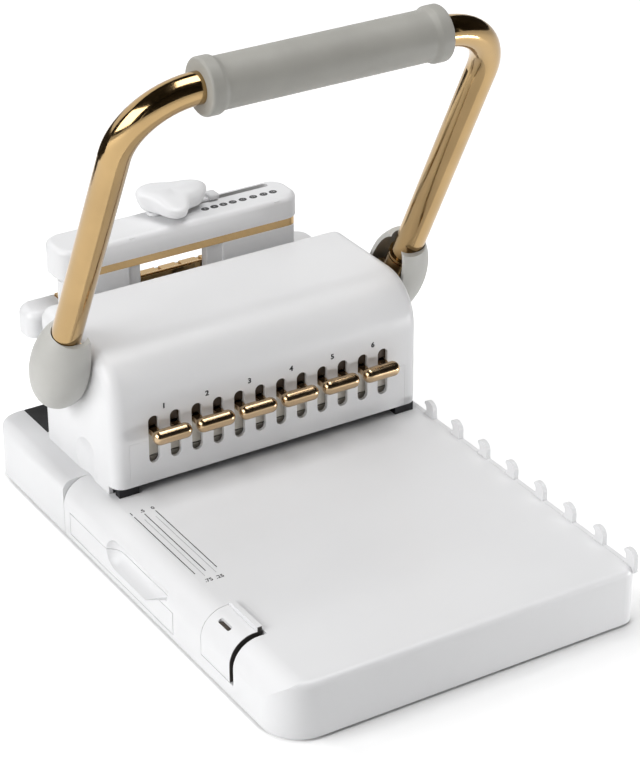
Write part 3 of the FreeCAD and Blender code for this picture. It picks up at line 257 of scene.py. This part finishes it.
def merge(objs, name):
    deselect()
    for obj in objs:
        obj.select_set(True)
    bpy.context.view_layer.objects.active = objs[0]
    bpy.ops.object.join()
    return current(name)


def dress(obj, material):
    obj.data.materials.clear()
    obj.data.materials.append(material)


def node(tree, kind, at, **values):
    made = tree.nodes.new(kind)
    made.location = at
    for key, value in values.items():
        setattr(made, key, value)
    return made


class Finish:
    """A procedural material on Object coordinates."""

    # The part of a noise's range that goes from one colour, or one roughness, to the other
    MOTTLE = (0.35, 0.65)
    GLOSS = (0.3, 0.7)
    # Sockets of a Mix node's two colours and of its result
    MIX_COLOURS = (6, 7)
    MIX_RESULT = 2

    def __init__(self, name, roughness, metallic=0.0):
        self.material = bpy.data.materials.new(name)
        self.material.use_nodes = True
        self.tree = self.material.node_tree
        self.shader = self.tree.nodes["Principled BSDF"]
        self.shader.inputs["Roughness"].default_value = roughness
        self.shader.inputs["Metallic"].default_value = metallic
        self.place = node(self.tree, "ShaderNodeTexCoord", (-1100, 0)).outputs["Object"]
        self.drop = 300

    def noise(self, scale, detail=2.0, stretch=(1.0, 1.0, 1.0)):
        source = self.place
        if stretch != (1.0, 1.0, 1.0):
            mapping = node(self.tree, "ShaderNodeMapping", (-900, self.drop))
            mapping.inputs["Scale"].default_value = stretch
            self.tree.links.new(source, mapping.inputs["Vector"])
            source = mapping.outputs["Vector"]
        noise = node(self.tree, "ShaderNodeTexNoise", (-700, self.drop))
        noise.inputs["Scale"].default_value = scale
        noise.inputs["Detail"].default_value = detail
        self.tree.links.new(source, noise.inputs["Vector"])
        self.drop -= 250
        return noise.outputs["Fac"]

    def mottle(self, factor, low, high):
        """A colour that wanders between two."""
        ramp = node(self.tree, "ShaderNodeValToRGB", (-480, self.drop))
        for element, place, colour in zip(ramp.color_ramp.elements, self.MOTTLE, (low, high)):
            element.position = place
            element.color = (*colour, 1.0)
        self.tree.links.new(factor, ramp.inputs["Fac"])
        return ramp.outputs["Color"]

    def tint(self, factor, low, high):
        self.tree.links.new(self.mottle(factor, low, high), self.shader.inputs["Base Color"])

    def tint_along(self, axis, start, stop, factor, below, above):
        """Two mottled colours, one before a place along an axis and one past it."""
        split = node(self.tree, "ShaderNodeSeparateXYZ", (-900, 500))
        self.tree.links.new(self.place, split.inputs[0])
        rise = node(self.tree, "ShaderNodeMapRange", (-700, 500), interpolation_type="SMOOTHSTEP")
        rise.inputs["From Min"].default_value = start
        rise.inputs["From Max"].default_value = stop
        self.tree.links.new(split.outputs[axis], rise.inputs["Value"])
        mix = node(self.tree, "ShaderNodeMix", (-200, 400), data_type="RGBA")
        self.tree.links.new(rise.outputs["Result"], mix.inputs["Factor"])
        for socket, (low, high) in zip(self.MIX_COLOURS, (below, above)):
            self.tree.links.new(self.mottle(factor, low, high), mix.inputs[socket])
        self.tree.links.new(mix.outputs[self.MIX_RESULT], self.shader.inputs["Base Color"])

    def gloss(self, factor, low, high):
        start, stop = self.GLOSS
        spread = node(self.tree, "ShaderNodeMapRange", (-480, self.drop))
        spread.inputs["From Min"].default_value = start
        spread.inputs["From Max"].default_value = stop
        spread.inputs["To Min"].default_value = low
        spread.inputs["To Max"].default_value = high
        self.tree.links.new(factor, spread.inputs["Value"])
        self.tree.links.new(spread.outputs["Result"], self.shader.inputs["Roughness"])

    def grain(self, heights, depth, strength):
        bump = node(self.tree, "ShaderNodeBump", (-250, -500))
        bump.inputs["Strength"].default_value = strength
        bump.inputs["Distance"].default_value = depth
        self.tree.links.new(heights, bump.inputs["Height"])
        self.tree.links.new(bump.outputs["Normal"], self.shader.inputs["Normal"])


def shade(colour, factor):
    return tuple(min(1.0, c * factor) for c in colour)


def moulded(finish):
    """The gloss and grain of the moulded covers."""
    finish.gloss(finish.noise(60.0, 4.0), 0.31, 0.43)
    finish.grain(finish.noise(1500.0, 2.0), 0.00003, 0.35)
    finish.shader.inputs["Specular IOR Level"].default_value = 0.45
    return finish.material


def make_finishes(settings):
    """The materials by the frame's slots, and by node where a piece has its own."""
    white = tuple(settings.white)
    grey = tuple(settings.warm_grey)
    caps = tuple(settings.cap_grey)
    gold = tuple(settings.gold)
    rough = settings.gold_roughness
    covers = (shade(white, 0.975), white)
    made = {}

    finish = Finish("moulded_white", 0.36)
    finish.tint(finish.noise(14.0, 3.0), *covers)
    made["white_plastic"] = made["size_slider"] = moulded(finish)

    # The guide's white front end is painted dark: painted shade for the slit in front of it
    finish = Finish("guide_white", 0.36)
    finish.tint_along(
        "Y", GUIDE_LOW.y + 0.3 * MM, GUIDE_LOW.y + 0.5 * MM, finish.noise(14.0, 3.0),
        ((0.05, 0.045, 0.042), (0.08, 0.075, 0.07)), covers)
    made["edge_guide"] = moulded(finish)

    finish = Finish("soft_warm_grey", 0.55)
    finish.tint(finish.noise(40.0, 4.0), shade(grey, 0.94), shade(grey, 1.03))
    finish.gloss(finish.noise(150.0, 3.0), 0.5, 0.64)
    finish.grain(finish.noise(2200.0, 3.0), 0.00005, 0.5)
    finish.shader.inputs["Sheen Weight"].default_value = 0.12
    made["warm_grey_plastic"] = finish.material

    finish = Finish("cap_warm_grey", 0.42)
    finish.tint(finish.noise(40.0, 4.0), shade(caps, 0.96), shade(caps, 1.02))
    finish.gloss(finish.noise(150.0, 3.0), 0.36, 0.5)
    finish.grain(finish.noise(2200.0, 3.0), 0.00003, 0.4)
    made["pivot_cap_left"] = made["pivot_cap_right"] = finish.material

    finish = Finish("matte_grey", 0.6)
    finish.tint(finish.noise(50.0, 3.0), (0.25, 0.25, 0.26), (0.29, 0.29, 0.3))
    finish.gloss(finish.noise(160.0, 3.0), 0.52, 0.68)
    finish.grain(finish.noise(1600.0, 2.0), 0.00005, 0.4)
    made["grey_plastic"] = finish.material

    # The sheets behind the slots are pale below the selectors, and above them they are painted dark
    # brown as painted shade
    finish = Finish("inner_sheet", 0.5)
    finish.tint_along(
        "Z", SELECTOR_Z - 1.0 * MM, SELECTOR_Z + 2.0 * MM, finish.noise(50.0, 3.0),
        ((0.42, 0.395, 0.345), (0.5, 0.475, 0.42)), ((0.05, 0.034, 0.02), (0.075, 0.052, 0.032)))
    finish.gloss(finish.noise(160.0, 3.0), 0.42, 0.58)
    finish.grain(finish.noise(1600.0, 2.0), 0.00003, 0.4)
    made["slot_apron"] = made["slot_screen"] = finish.material

    finish = Finish("gold_plating", rough, 1.0)
    finish.tint(finish.noise(30.0, 3.0), shade(gold, 0.93), shade(gold, 1.04))
    finish.gloss(finish.noise(220.0, 5.0), rough * 0.75, rough * 1.6)
    finish.grain(finish.noise(900.0, 3.0), 0.000012, 0.25)
    made["gold_metal"] = finish.material

    finish = Finish("brushed_gold", 0.24, 1.0)
    finish.tint(finish.noise(30.0, 3.0), (0.5, 0.36, 0.215), (0.55, 0.4, 0.245))
    finish.gloss(finish.noise(220.0, 5.0), 0.14, 0.24)
    finish.grain(finish.noise(900.0, 3.0), 0.000008, 0.2)
    for name in SELECTORS:
        made[name] = finish.material

    finish = Finish("blackened_steel", 0.45, 0.7)
    finish.tint(finish.noise(70.0, 4.0), (0.018, 0.018, 0.02), (0.035, 0.035, 0.038))
    finish.gloss(finish.noise(300.0, 4.0), 0.38, 0.55)
    finish.grain(finish.noise(1200.0, 3.0), 0.00003, 0.4)
    made["black_steel"] = finish.material

    finish = Finish("black_rubber", 0.75)
    finish.tint(finish.noise(60.0, 4.0), (0.014, 0.014, 0.015), (0.026, 0.026, 0.027))
    finish.gloss(finish.noise(240.0, 3.0), 0.68, 0.82)
    finish.grain(finish.noise(1400.0, 3.0), 0.00008, 0.6)
    made["black_rubber"] = finish.material

    finish = Finish("plated_steel", 0.32, 1.0)
    finish.tint(finish.noise(50.0, 4.0), (0.5, 0.51, 0.53), (0.6, 0.6, 0.61))
    finish.gloss(finish.noise(400.0, 3.0, (1.0, 1.0, 0.08)), 0.24, 0.42)
    finish.grain(finish.noise(700.0, 3.0), 0.00002, 0.3)
    made["plated_steel"] = finish.material

    finish = Finish("bright_steel", 0.2, 1.0)
    finish.tint(finish.noise(50.0, 3.0), (0.66, 0.67, 0.69), (0.74, 0.74, 0.75))
    finish.gloss(finish.noise(500.0, 4.0, (0.1, 1.0, 1.0)), 0.14, 0.28)
    finish.grain(finish.noise(900.0, 3.0), 0.00001, 0.3)
    made["bright_steel"] = finish.material

    finish = Finish("sintered_bronze", 0.4, 1.0)
    finish.tint(finish.noise(120.0, 5.0), (0.4, 0.22, 0.09), (0.52, 0.31, 0.14))
    finish.gloss(finish.noise(700.0, 3.0), 0.34, 0.5)
    finish.grain(finish.noise(2500.0, 2.0), 0.00004, 0.5)
    made["bronze"] = finish.material
    return made


def printed(name, roughness, colours, gloss):
    """The finish of a printed ink."""
    finish = Finish(name, roughness)
    finish.tint(finish.noise(900.0, 3.0), *colours)
    finish.gloss(finish.noise(1500.0, 2.0), *gloss)
    return finish.material


def ink_finish(settings):
    ink = tuple(settings.ink)
    return printed("printed_ink", 0.45, (ink, shade(ink, 2.2)), (0.38, 0.55))


def grey_ink_finish():
    return printed("printed_grey_ink", 0.5, ((0.36, 0.36, 0.37), (0.46, 0.46, 0.47)), (0.42, 0.58))


def light_ink_finish():
    return printed("printed_light_ink", 0.5, ((0.4, 0.4, 0.4), (0.5, 0.5, 0.5)), (0.42, 0.58))


ON_FRONT = (Vector((1, 0, 0)), Vector((0, 0, 1)), Vector((0, -1, 0)))
ON_TOP = (Vector((1, 0, 0)), Vector((0, 1, 0)), Vector((0, 0, 1)))
# How much the figures' outlines are widened, and the shift of a bold number's two prints in heights
BOLD, BOLD_SHIFT = 0.02, 0.045


def raise_film(depth):
    """Gives the flat faces in edit mode a thickness, and turns all faces outwards."""
    bpy.ops.mesh.select_all(action="SELECT")
    bpy.ops.mesh.extrude_region_move(TRANSFORM_OT_translate={"value": (0.0, 0.0, depth)})
    bpy.ops.mesh.select_all(action="SELECT")
    bpy.ops.mesh.normals_make_consistent(inside=False)
    bpy.ops.object.mode_set(mode="OBJECT")


def figure(name, body, height, depth, centre, basis, weight=0.0):
    """A number as a thin film of ink; basis holds its own across, up and out axes."""
    deselect()
    bpy.ops.object.text_add(location=(0.0, 0.0, 0.0))
    obj = bpy.context.active_object
    obj.data.body = body
    obj.data.align_x = "CENTER"
    obj.data.align_y = "CENTER"
    obj.data.resolution_u = 6
    obj.data.extrude = 0.0
    obj.data.offset = weight
    bpy.ops.object.convert(target="MESH")
    obj = current(name)
    rises = [vertex.co.y for vertex in obj.data.vertices]
    size = height / (max(rises) - min(rises))
    bpy.ops.object.mode_set(mode="EDIT")
    bpy.ops.mesh.select_all(action="SELECT")
    bpy.ops.mesh.remove_doubles(threshold=0.0001)
    raise_film(depth / size)
    turn = Matrix(basis).transposed().to_4x4()
    obj.matrix_world = Matrix.Translation(centre) @ turn @ Matrix.Scale(size, 4)
    settle(obj)
    return obj


def strip(name, low, high):
    """A flat bar between two corners, with rounded ends."""
    deselect()
    middle = (Vector(low) + Vector(high)) / 2
    size = Vector(high) - Vector(low)
    bpy.ops.mesh.primitive_plane_add(size=1.0, location=(middle.x, middle.y, low[2]))
    obj = current(name)
    obj.scale = (size.x, size.y, 1.0)
    settle(obj)
    bpy.ops.object.mode_set(mode="EDIT")
    bpy.ops.mesh.select_all(action="SELECT")
    bpy.ops.mesh.bevel(offset=min(size.x, size.y) * 0.45, segments=3, affect="VERTICES")
    raise_film(size.z)
    return obj


class BINDER_OT_finishes(bpy.types.Operator):
    """Gives every piece of the frame its finish"""

    bl_idname = "binder.finishes"
    bl_label = "Finish the Frame"

    def execute(self, context):
        made = make_finishes(context.scene.binder_finish)
        slots = {part["node"]: part["material_slot"] for part in frame["record"]["subparts"]}
        for name, obj in frame["nodes"].items():
            dress(obj, made.get(name, made[slots[name]]))
        return {"FINISHED"}


class BINDER_OT_numbers(bpy.types.Operator):
    """Prints the numbers 1 to 6 over the six punch selectors"""

    bl_idname = "binder.numbers"
    bl_label = "Selector Numbers"

    def execute(self, context):
        marks = context.scene.binder_print
        material = ink_finish(context.scene.binder_finish)
        height = marks.number_height
        for k, selector in enumerate(SELECTORS, 1):
            low, high = (Vector(c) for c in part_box(selector))
            middle = (low + high) / 2
            centre = Vector((middle.x, HEAD_LOW.y, middle.z + marks.number_rise))
            name = "selector_number_%d" % k
            # Two prints side by side make a bold number
            prints = []
            for side in (-1, 1):
                shift = Vector((side * height * BOLD_SHIFT, 0.0, 0.0))
                prints.append(
                    figure(name, str(k), height, marks.ink_depth, centre + shift, ON_FRONT, BOLD))
            obj = merge(prints, name)
            dress(obj, material)
            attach(obj, "base")
        return {"FINISHED"}


class BINDER_OT_scale(bpy.types.Operator):
    """Prints the edge guide's setting lines and their figures on the platform"""

    bl_idname = "binder.scale"
    bl_label = "Guide Scale"

    def execute(self, context):
        marks = context.scene.binder_print
        top = DECK_HIGH.z
        face = HEAD_LOW.y
        rows = (
            ("guide_scale_lines", MAIN_LINES, ink_finish(context.scene.binder_finish)),
            ("guide_scale_half_lines", BETWEEN_LINES, grey_ink_finish()),
        )
        for name, (half, spots, near, far), material in rows:
            lines = []
            for x in spots:
                low = ((x - half) * MM, face + near * MM, top)
                high = ((x + half) * MM, face + far * MM, top + marks.ink_depth)
                lines.append(strip("guide_line", low, high))
            obj = merge(lines, name)
            dress(obj, material)
            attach(obj, "base")
        numerals = []
        height = GUIDE_FIGURE_HEIGHT * MM
        for text, x, y in GUIDE_FIGURES:
            centre = Vector((x * MM, face + y * MM, top))
            numerals.append(
                figure("guide_numeral", text, height, marks.ink_depth, centre, ON_TOP, BOLD))
        obj = merge(numerals, "guide_scale_numerals")
        dress(obj, ink_finish(context.scene.binder_finish))
        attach(obj, "base")
        return {"FINISHED"}


class BINDER_OT_pad(bpy.types.Operator):
    """Sets a dark pad under the thumb notch of the edge guide, as painted shade for the notch's
    hollow
    """

    bl_idname = "binder.pad"
    bl_label = "Guide Pad"

    def execute(self, context):
        low = Vector((GUIDE_LOW.x, GUIDE_LOW.y, GUIDE_HIGH.z)) + Vector(PAD_CORNER) * MM
        high = low + Vector(PAD_SIZE) * MM
        obj = strip("guide_pad", low, high)
        # Dark brown painted shade for the notch's hollow
        finish = Finish("pad_rubber", 0.7)
        finish.tint(finish.noise(90.0, 4.0), (0.03, 0.022, 0.018), (0.06, 0.045, 0.036))
        finish.gloss(finish.noise(260.0, 3.0), 0.62, 0.78)
        finish.grain(finish.noise(1800.0, 3.0), 0.00005, 0.5)
        dress(obj, finish.material)
        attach(obj, "guide")
        return {"FINISHED"}


class BINDER_OT_dots(bpy.types.Operator):
    """Prints the row of wire size marks and their figures on the top bar"""

    bl_idname = "binder.dots"
    bl_label = "Wire Size Marks"

    def execute(self, context):
        marks = context.scene.binder_print
        top = BAR_HIGH.z
        row = BAR_LOW.y + MARK_ROW * MM
        wide = marks.dot_width
        first = SIZE_MARKS[0][1]
        deselect()
        bpy.ops.mesh.primitive_circle_add(
            vertices=28, radius=0.5, fill_type="NGON", location=(0, 0, 0))
        master = current("size_mark")
        master.scale = (wide, wide * MARK_LENGTH, 1.0)
        master.location = (first * MM, row, top)
        settle(master)
        bpy.ops.object.mode_set(mode="EDIT")
        bpy.ops.mesh.select_all(action="SELECT")
        bpy.ops.mesh.inset(thickness=MARK_RIM * MM)
        raise_film(marks.ink_depth)
        row_of_marks = [master]
        for _, x in SIZE_MARKS[1:]:
            pick(master)
            bpy.ops.object.duplicate(linked=False)
            copy = bpy.context.active_object
            copy.location.x += (x - first) * MM
            row_of_marks.append(copy)
        obj = merge(row_of_marks, "wire_size_marks")
        settle(obj)
        dress(obj, ink_finish(context.scene.binder_finish))
        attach(obj, "base")
        numerals = []
        height = wide * MARK_FIGURE
        for text, x in SIZE_MARKS:
            centre = Vector((x * MM, row, top + marks.ink_depth))
            numerals.append(
                figure("size_numeral", text, height, marks.ink_depth / 2, centre, ON_TOP))
        obj = merge(numerals, "wire_size_numerals")
        dress(obj, light_ink_finish())
        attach(obj, "base")
        return {"FINISHED"}


class BINDER_OT_knob(bpy.types.Operator):
    """Models the soft three-lobed knob that clamps the size stop, and the slider's tab beside it"""

    bl_idname = "binder.knob"
    bl_label = "Size Knob"

    def execute(self, context):
        stem = Vector((
            (KNOB_LOW.x + KNOB_HIGH.x) / 2 + STEM_ACROSS * MM,
            KNOB_HIGH.y + STEM_FROM_BACK * MM,
            KNOB_LOW.z,
        ))
        self.soft_knob(stem)
        self.slider_tab(stem)
        return {"FINISHED"}

    def soft_knob(self, stem):
        deselect()
        bpy.ops.mesh.primitive_circle_add(
            vertices=len(KNOB_OUTLINE), radius=1.0, fill_type="NGON", location=(0, 0, 0))
        obj = current("soft_size_knob")
        for vertex, (x, y) in zip(obj.data.vertices, KNOB_OUTLINE):
            vertex.co = (x * MM, y * MM, 0.0)
        middle = (KNOB_MIDDLE[0] * MM, KNOB_MIDDLE[1] * MM, 0.0)
        bpy.ops.object.mode_set(mode="EDIT")
        bpy.ops.mesh.select_all(action="SELECT")
        share, height = KNOB_FOOT, 0.0
        bpy.ops.transform.resize(value=(share, share, 1.0), center_override=middle)
        for rise, wide in KNOB_RINGS:
            step = (0.0, 0.0, (rise - height) * MM)
            grow = wide / share
            bpy.ops.mesh.extrude_region_move(TRANSFORM_OT_translate={"value": step})
            bpy.ops.transform.resize(value=(grow, grow, 1.0), center_override=middle)
            share, height = wide, rise
        bpy.ops.mesh.select_all(action="SELECT")
        bpy.ops.mesh.normals_make_consistent(inside=False)
        bpy.ops.object.mode_set(mode="OBJECT")
        for vertex in obj.data.vertices:
            reach = min(1.0, max(0.0, (LOBE_START * MM - vertex.co.y) / (LOBE_LENGTH * MM)))
            vertex.co.z -= LOBE_DROP * vertex.co.z * reach * reach * (3.0 - 2.0 * reach)
        obj.location = stem
        settle(obj)
        curve = obj.modifiers.new("curve", "SUBSURF")
        curve.levels = 3
        curve.render_levels = 3
        bpy.ops.object.modifier_apply(modifier="curve")
        bpy.ops.object.shade_smooth()
        dress(obj, frame["nodes"]["size_knob"].data.materials[0])
        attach(obj, "size_wing")
        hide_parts("size_knob")

    def slider_tab(self, stem):
        pieces = []
        for start, stop, half, top in TAB_PIECES:
            deselect()
            bpy.ops.mesh.primitive_cube_add(size=1.0, location=(0, 0, 0))
            piece = current("tab_piece")
            thick = top - TAB_LIFT
            piece.scale = ((stop - start) * MM, 2 * half * MM, thick * MM)
            piece.location = (
                stem.x + (start + stop) / 2 * MM, stem.y, BAR_HIGH.z + (top + TAB_LIFT) / 2 * MM)
            settle(piece)
            bpy.ops.object.mode_set(mode="EDIT")
            bpy.ops.mesh.select_all(action="SELECT")
            bpy.ops.mesh.bevel(offset=thick * 0.45 * MM, segments=5, affect="EDGES")
            bpy.ops.object.mode_set(mode="OBJECT")
            pieces.append(piece)
        tab = merge(pieces, "slider_tab")
        bpy.ops.object.shade_smooth_by_angle(angle=math.radians(50.0))
        dress(tab, frame["nodes"]["size_knob"].data.materials[0])
        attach(tab, "size_stop")


class BINDER_OT_springs(bpy.types.Operator):
    """Winds the two return springs"""

    bl_idname = "binder.springs"
    bl_label = "Return Springs"

    def execute(self, context):
        low, high = (Vector(c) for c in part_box("return_springs"))
        wire, coil = SPRING_WIRE * MM, SPRING_COIL * MM
        rise = high.z - low.z - 2 * wire
        row = (low.y + high.y) / 2
        springs = []
        for x in (low.x + coil + wire, high.x - coil - wire):
            deselect()
            bpy.ops.mesh.primitive_circle_add(
                vertices=SPRING_SIDES, radius=wire, fill_type="NGON",
                location=(coil, 0, 0), rotation=(math.pi / 2, 0, 0))
            spring = current("return_spring")
            settle(spring)
            wind = spring.modifiers.new("wind", "SCREW")
            wind.axis = "Z"
            wind.iterations = SPRING_TURNS
            wind.screw_offset = rise / SPRING_TURNS
            wind.steps = SPRING_STEPS
            wind.render_steps = SPRING_STEPS
            bpy.ops.object.modifier_apply(modifier="wind")
            bpy.ops.object.mode_set(mode="EDIT")
            bpy.ops.mesh.select_all(action="SELECT")
            bpy.ops.mesh.fill_holes(sides=0)
            bpy.ops.mesh.normals_make_consistent(inside=False)
            bpy.ops.object.mode_set(mode="OBJECT")
            spring.location = (x, row, low.z + wire)
            settle(spring)
            bpy.ops.object.shade_smooth_by_angle(angle=math.radians(60.0))
            springs.append(spring)
        obj = merge(springs, "wound_return_springs")
        dress(obj, frame["nodes"]["return_springs"].data.materials[0])
        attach(obj, "base")
        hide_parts("return_springs")
        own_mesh(obj)
        return {"FINISHED"}


def aim(obj, place, target, axis):
    """Puts the object in its place, with one of its axes towards the target."""
    obj.location = place
    obj.rotation_euler = (Vector(target) - Vector(place)).to_track_quat(axis, "Y").to_euler()


def lamp(name, power, place, target, width, height):
    data = bpy.data.lights.new(name, "AREA")
    data.shape = "RECTANGLE"
    data.size = width
    data.size_y = height
    data.energy = power
    obj = bpy.data.objects.new(name, data)
    bpy.context.scene.collection.objects.link(obj)
    aim(obj, place, target, "-Z")


def background_rays(tree):
    """1 for rays that show the background: seen, mirrored or through glass."""
    path = node(tree, "ShaderNodeLightPath", (-900, 300))
    first = node(tree, "ShaderNodeMath", (-650, 300), operation="MAXIMUM")
    second = node(tree, "ShaderNodeMath", (-450, 300), operation="MAXIMUM")
    tree.links.new(path.outputs["Is Camera Ray"], first.inputs[0])
    tree.links.new(path.outputs["Is Glossy Ray"], first.inputs[1])
    tree.links.new(first.outputs[0], second.inputs[0])
    tree.links.new(path.outputs["Is Transmission Ray"], second.inputs[1])
    return second.outputs[0]


def floor_glow(finish):
    """The floor's glow: a painted shadow along the front of the base and a painted contact line
    round it, full away from it, and white far off.
    """
    tree = finish.tree

    def math_node(operation, at, *values):
        made = node(tree, "ShaderNodeMath", at, operation=operation)
        for socket, value in zip(made.inputs, values):
            if isinstance(value, float):
                socket.default_value = value
            else:
                tree.links.new(value, socket)
        return made.outputs[0]

    def spread(value, at, start, stop, low, high):
        made = node(tree, "ShaderNodeMapRange", at, interpolation_type="SMOOTHSTEP")
        limits = {"From Min": start, "From Max": stop, "To Min": low, "To Max": high}
        for key, number in limits.items():
            made.inputs[key].default_value = number
        tree.links.new(value, made.inputs["Value"])
        return made.outputs["Result"]

    # Distance from the base's outline, a rectangle with round corners
    split = node(tree, "ShaderNodeSeparateXYZ", (-900, 700))
    tree.links.new(finish.place, split.inputs[0])
    squares = []
    for k, (low, high) in enumerate(((DECK_LOW.x, DECK_HIGH.x), (DECK_LOW.y, CAD_BOX[1][1]))):
        drop = 700 - 200 * k
        shift = math_node("SUBTRACT", (-750, drop), split.outputs[k], (low + high) / 2)
        size = math_node("ABSOLUTE", (-600, drop), shift)
        past = math_node("SUBTRACT", (-450, drop), size, (high - low) / 2 - CORNER)
        past = math_node("MAXIMUM", (-300, drop), past, 0.0)
        squares.append(math_node("POWER", (-150, drop), past, 2.0))
    length = math_node("SQRT", (100, 600), math_node("ADD", (0, 600), *squares))
    away = math_node("SUBTRACT", (200, 600), length, CORNER)

    # The soft shadow lies along the front, and fades out past the left corner and up the right side
    shadow = spread(away, (350, 900), 0.0, SHADOW_REACH, 0.0, FLOOR_GLOW)
    left, near = DECK_LOW.x, DECK_LOW.y
    right = spread(split.outputs[0], (350, 500), left - 2.0 * MM, left + 30.0 * MM, 0.0, 1.0)
    front = spread(split.outputs[1], (350, 400), near, near + 50.0 * MM, 1.0, 0.0)
    share = math_node("MULTIPLY", (500, 450), right, front)
    loss = math_node("SUBTRACT", (600, 700), shadow, FLOOR_GLOW)
    shaded = math_node("MULTIPLY_ADD", (700, 700), loss, share, FLOOR_GLOW)
    # Painted contact shadow: the glow drops to a thin dark line at the base's outline
    contact = spread(away, (350, 700), 0.0, CONTACT_WIDTH, CONTACT_SHARE, 1.0)
    shaded = math_node("MULTIPLY", (780, 800), shaded, contact)

    white = spread(away, (350, 300), WHITE_START, WHITE_STOP, 0.0, WHITE_GLOW)
    path = node(tree, "ShaderNodeLightPath", (350, 200))
    return math_node("MULTIPLY_ADD", (850, 600), white, path.outputs["Is Camera Ray"], shaded)


def card(name, place, target, width, height):
    """A dark studio card that only reflections see."""
    deselect()
    bpy.ops.mesh.primitive_plane_add(size=1.0, location=(0, 0, 0))
    obj = current(name)
    obj.scale = (width, height, 1.0)
    settle(obj)
    aim(obj, place, target, "Z")
    settle(obj)
    obj.visible_camera = False
    obj.visible_diffuse = False
    obj.visible_transmission = False
    obj.visible_shadow = False
    finish = Finish("studio_card", 0.9)
    finish.tint(finish.noise(2.0), (0.02, 0.016, 0.012), (0.035, 0.028, 0.022))
    dress(obj, finish.material)


class BINDER_OT_stage(bpy.types.Operator):
    """Sets the floor, the world, the lamps with their cards, and the camera"""

    bl_idname = "binder.stage"
    bl_label = "Studio Stage"

    def execute(self, context):
        scene = context.scene
        settings = scene.binder_stage
        scene.view_settings.view_transform = "Standard"
        self.floor()
        self.world(scene, settings.ambient)
        for name, (setting, *placing) in LAMPS.items():
            lamp(name, getattr(settings, setting), *placing)
        for name, placing in CARDS.items():
            card(name, *placing)
        self.camera(scene, settings.focal)
        return {"FINISHED"}

    def floor(self):
        deselect()
        bpy.ops.mesh.primitive_plane_add(size=FLOOR_SIZE, location=(0.0, 0.0, 0.0))
        floor = current("studio_floor")
        finish = Finish("studio_floor", 0.9)
        finish.tint(finish.noise(3.0), (0.86, 0.86, 0.86), (0.87, 0.87, 0.87))
        finish.shader.inputs["Emission Color"].default_value = (1.0, 1.0, 1.0, 1.0)
        lift = node(finish.tree, "ShaderNodeMath", (-250, 300), operation="MULTIPLY")
        finish.tree.links.new(background_rays(finish.tree), lift.inputs[0])
        finish.tree.links.new(floor_glow(finish), lift.inputs[1])
        finish.tree.links.new(lift.outputs[0], finish.shader.inputs["Emission Strength"])
        dress(floor, finish.material)

    def world(self, scene, strength):
        """An even light from all sides, with white where the background is seen."""
        world = bpy.data.worlds.new("studio")
        scene.world = world
        world.use_nodes = True
        tree = world.node_tree
        tree.nodes.clear()
        out = node(tree, "ShaderNodeOutputWorld", (300, 0))
        mix = node(tree, "ShaderNodeMixShader", (100, 0))
        ambient = node(tree, "ShaderNodeBackground", (-150, 0))
        ambient.inputs["Color"].default_value = (1.0, 1.0, 1.0, 1.0)
        ambient.inputs["Strength"].default_value = strength
        seen = node(tree, "ShaderNodeBackground", (-150, -200))
        seen.inputs["Color"].default_value = (1.0, 1.0, 1.0, 1.0)
        seen.inputs["Strength"].default_value = 1.0
        tree.links.new(background_rays(tree), mix.inputs["Fac"])
        tree.links.new(ambient.outputs[0], mix.inputs[1])
        tree.links.new(seen.outputs[0], mix.inputs[2])
        tree.links.new(mix.outputs[0], out.inputs["Surface"])

    def camera(self, scene, focal):
        data = bpy.data.cameras.new("camera")
        data.lens = focal
        data.sensor_width = SENSOR_WIDTH
        data.clip_start = 0.05
        camera = bpy.data.objects.new("camera", data)
        scene.collection.objects.link(camera)
        yaw, pitch, roll = (math.radians(angle) for angle in CAMERA_TURN)
        level = math.cos(pitch)
        ahead = Vector((math.sin(yaw) * level, math.cos(yaw) * level, -math.sin(pitch)))
        right = Vector((math.cos(yaw), -math.sin(yaw), 0.0))
        up = right.cross(ahead)
        side = math.cos(roll) * right + math.sin(roll) * up
        head = -math.sin(roll) * right + math.cos(roll) * up
        turn = Matrix((side, head, -ahead)).transposed().to_4x4()
        camera.matrix_world = Matrix.Translation(CAMERA_PLACE) @ turn
        scene.camera = camera


class BINDER_PT_panel(bpy.types.Panel):
    bl_idname = "BINDER_PT_panel"
    bl_label = "Binding Machine"
    bl_space_type = "VIEW_3D"
    bl_region_type = "UI"
    bl_category = "Binding Machine"

    def draw(self, context):
        layout = self.layout
        for name, _ in SETTINGS:
            group = getattr(context.scene, name)
            column = layout.column()
            for key in group.__annotations__:
                column.prop(group, key)
        for operator in OPERATORS:
            layout.operator(operator.bl_idname)


SETTINGS = (
    ("binder_finish", FinishSettings),
    ("binder_print", PrintSettings),
    ("binder_stage", StageSettings),
)
OPERATORS = (
    BINDER_OT_stage,
    BINDER_OT_finishes,
    BINDER_OT_numbers,
    BINDER_OT_scale,
    BINDER_OT_pad,
    BINDER_OT_dots,
    BINDER_OT_knob,
    BINDER_OT_springs,
)


def register():
    for name, group in SETTINGS:
        bpy.utils.register_class(group)
        setattr(bpy.types.Scene, name, bpy.props.PointerProperty(type=group))
    for operator in OPERATORS:
        bpy.utils.register_class(operator)
    bpy.utils.register_class(BINDER_PT_panel)


def unregister():
    bpy.utils.unregister_class(BINDER_PT_panel)
    for operator in reversed(OPERATORS):
        bpy.utils.unregister_class(operator)
    for name, group in reversed(SETTINGS):
        delattr(bpy.types.Scene, name)
        bpy.utils.unregister_class(group)


def main():
    register()
    for operator in OPERATORS:
        family, action = operator.bl_idname.split(".")
        getattr(getattr(bpy.ops, family), action)()
    deselect()


if __name__ == "__main__":
    main()
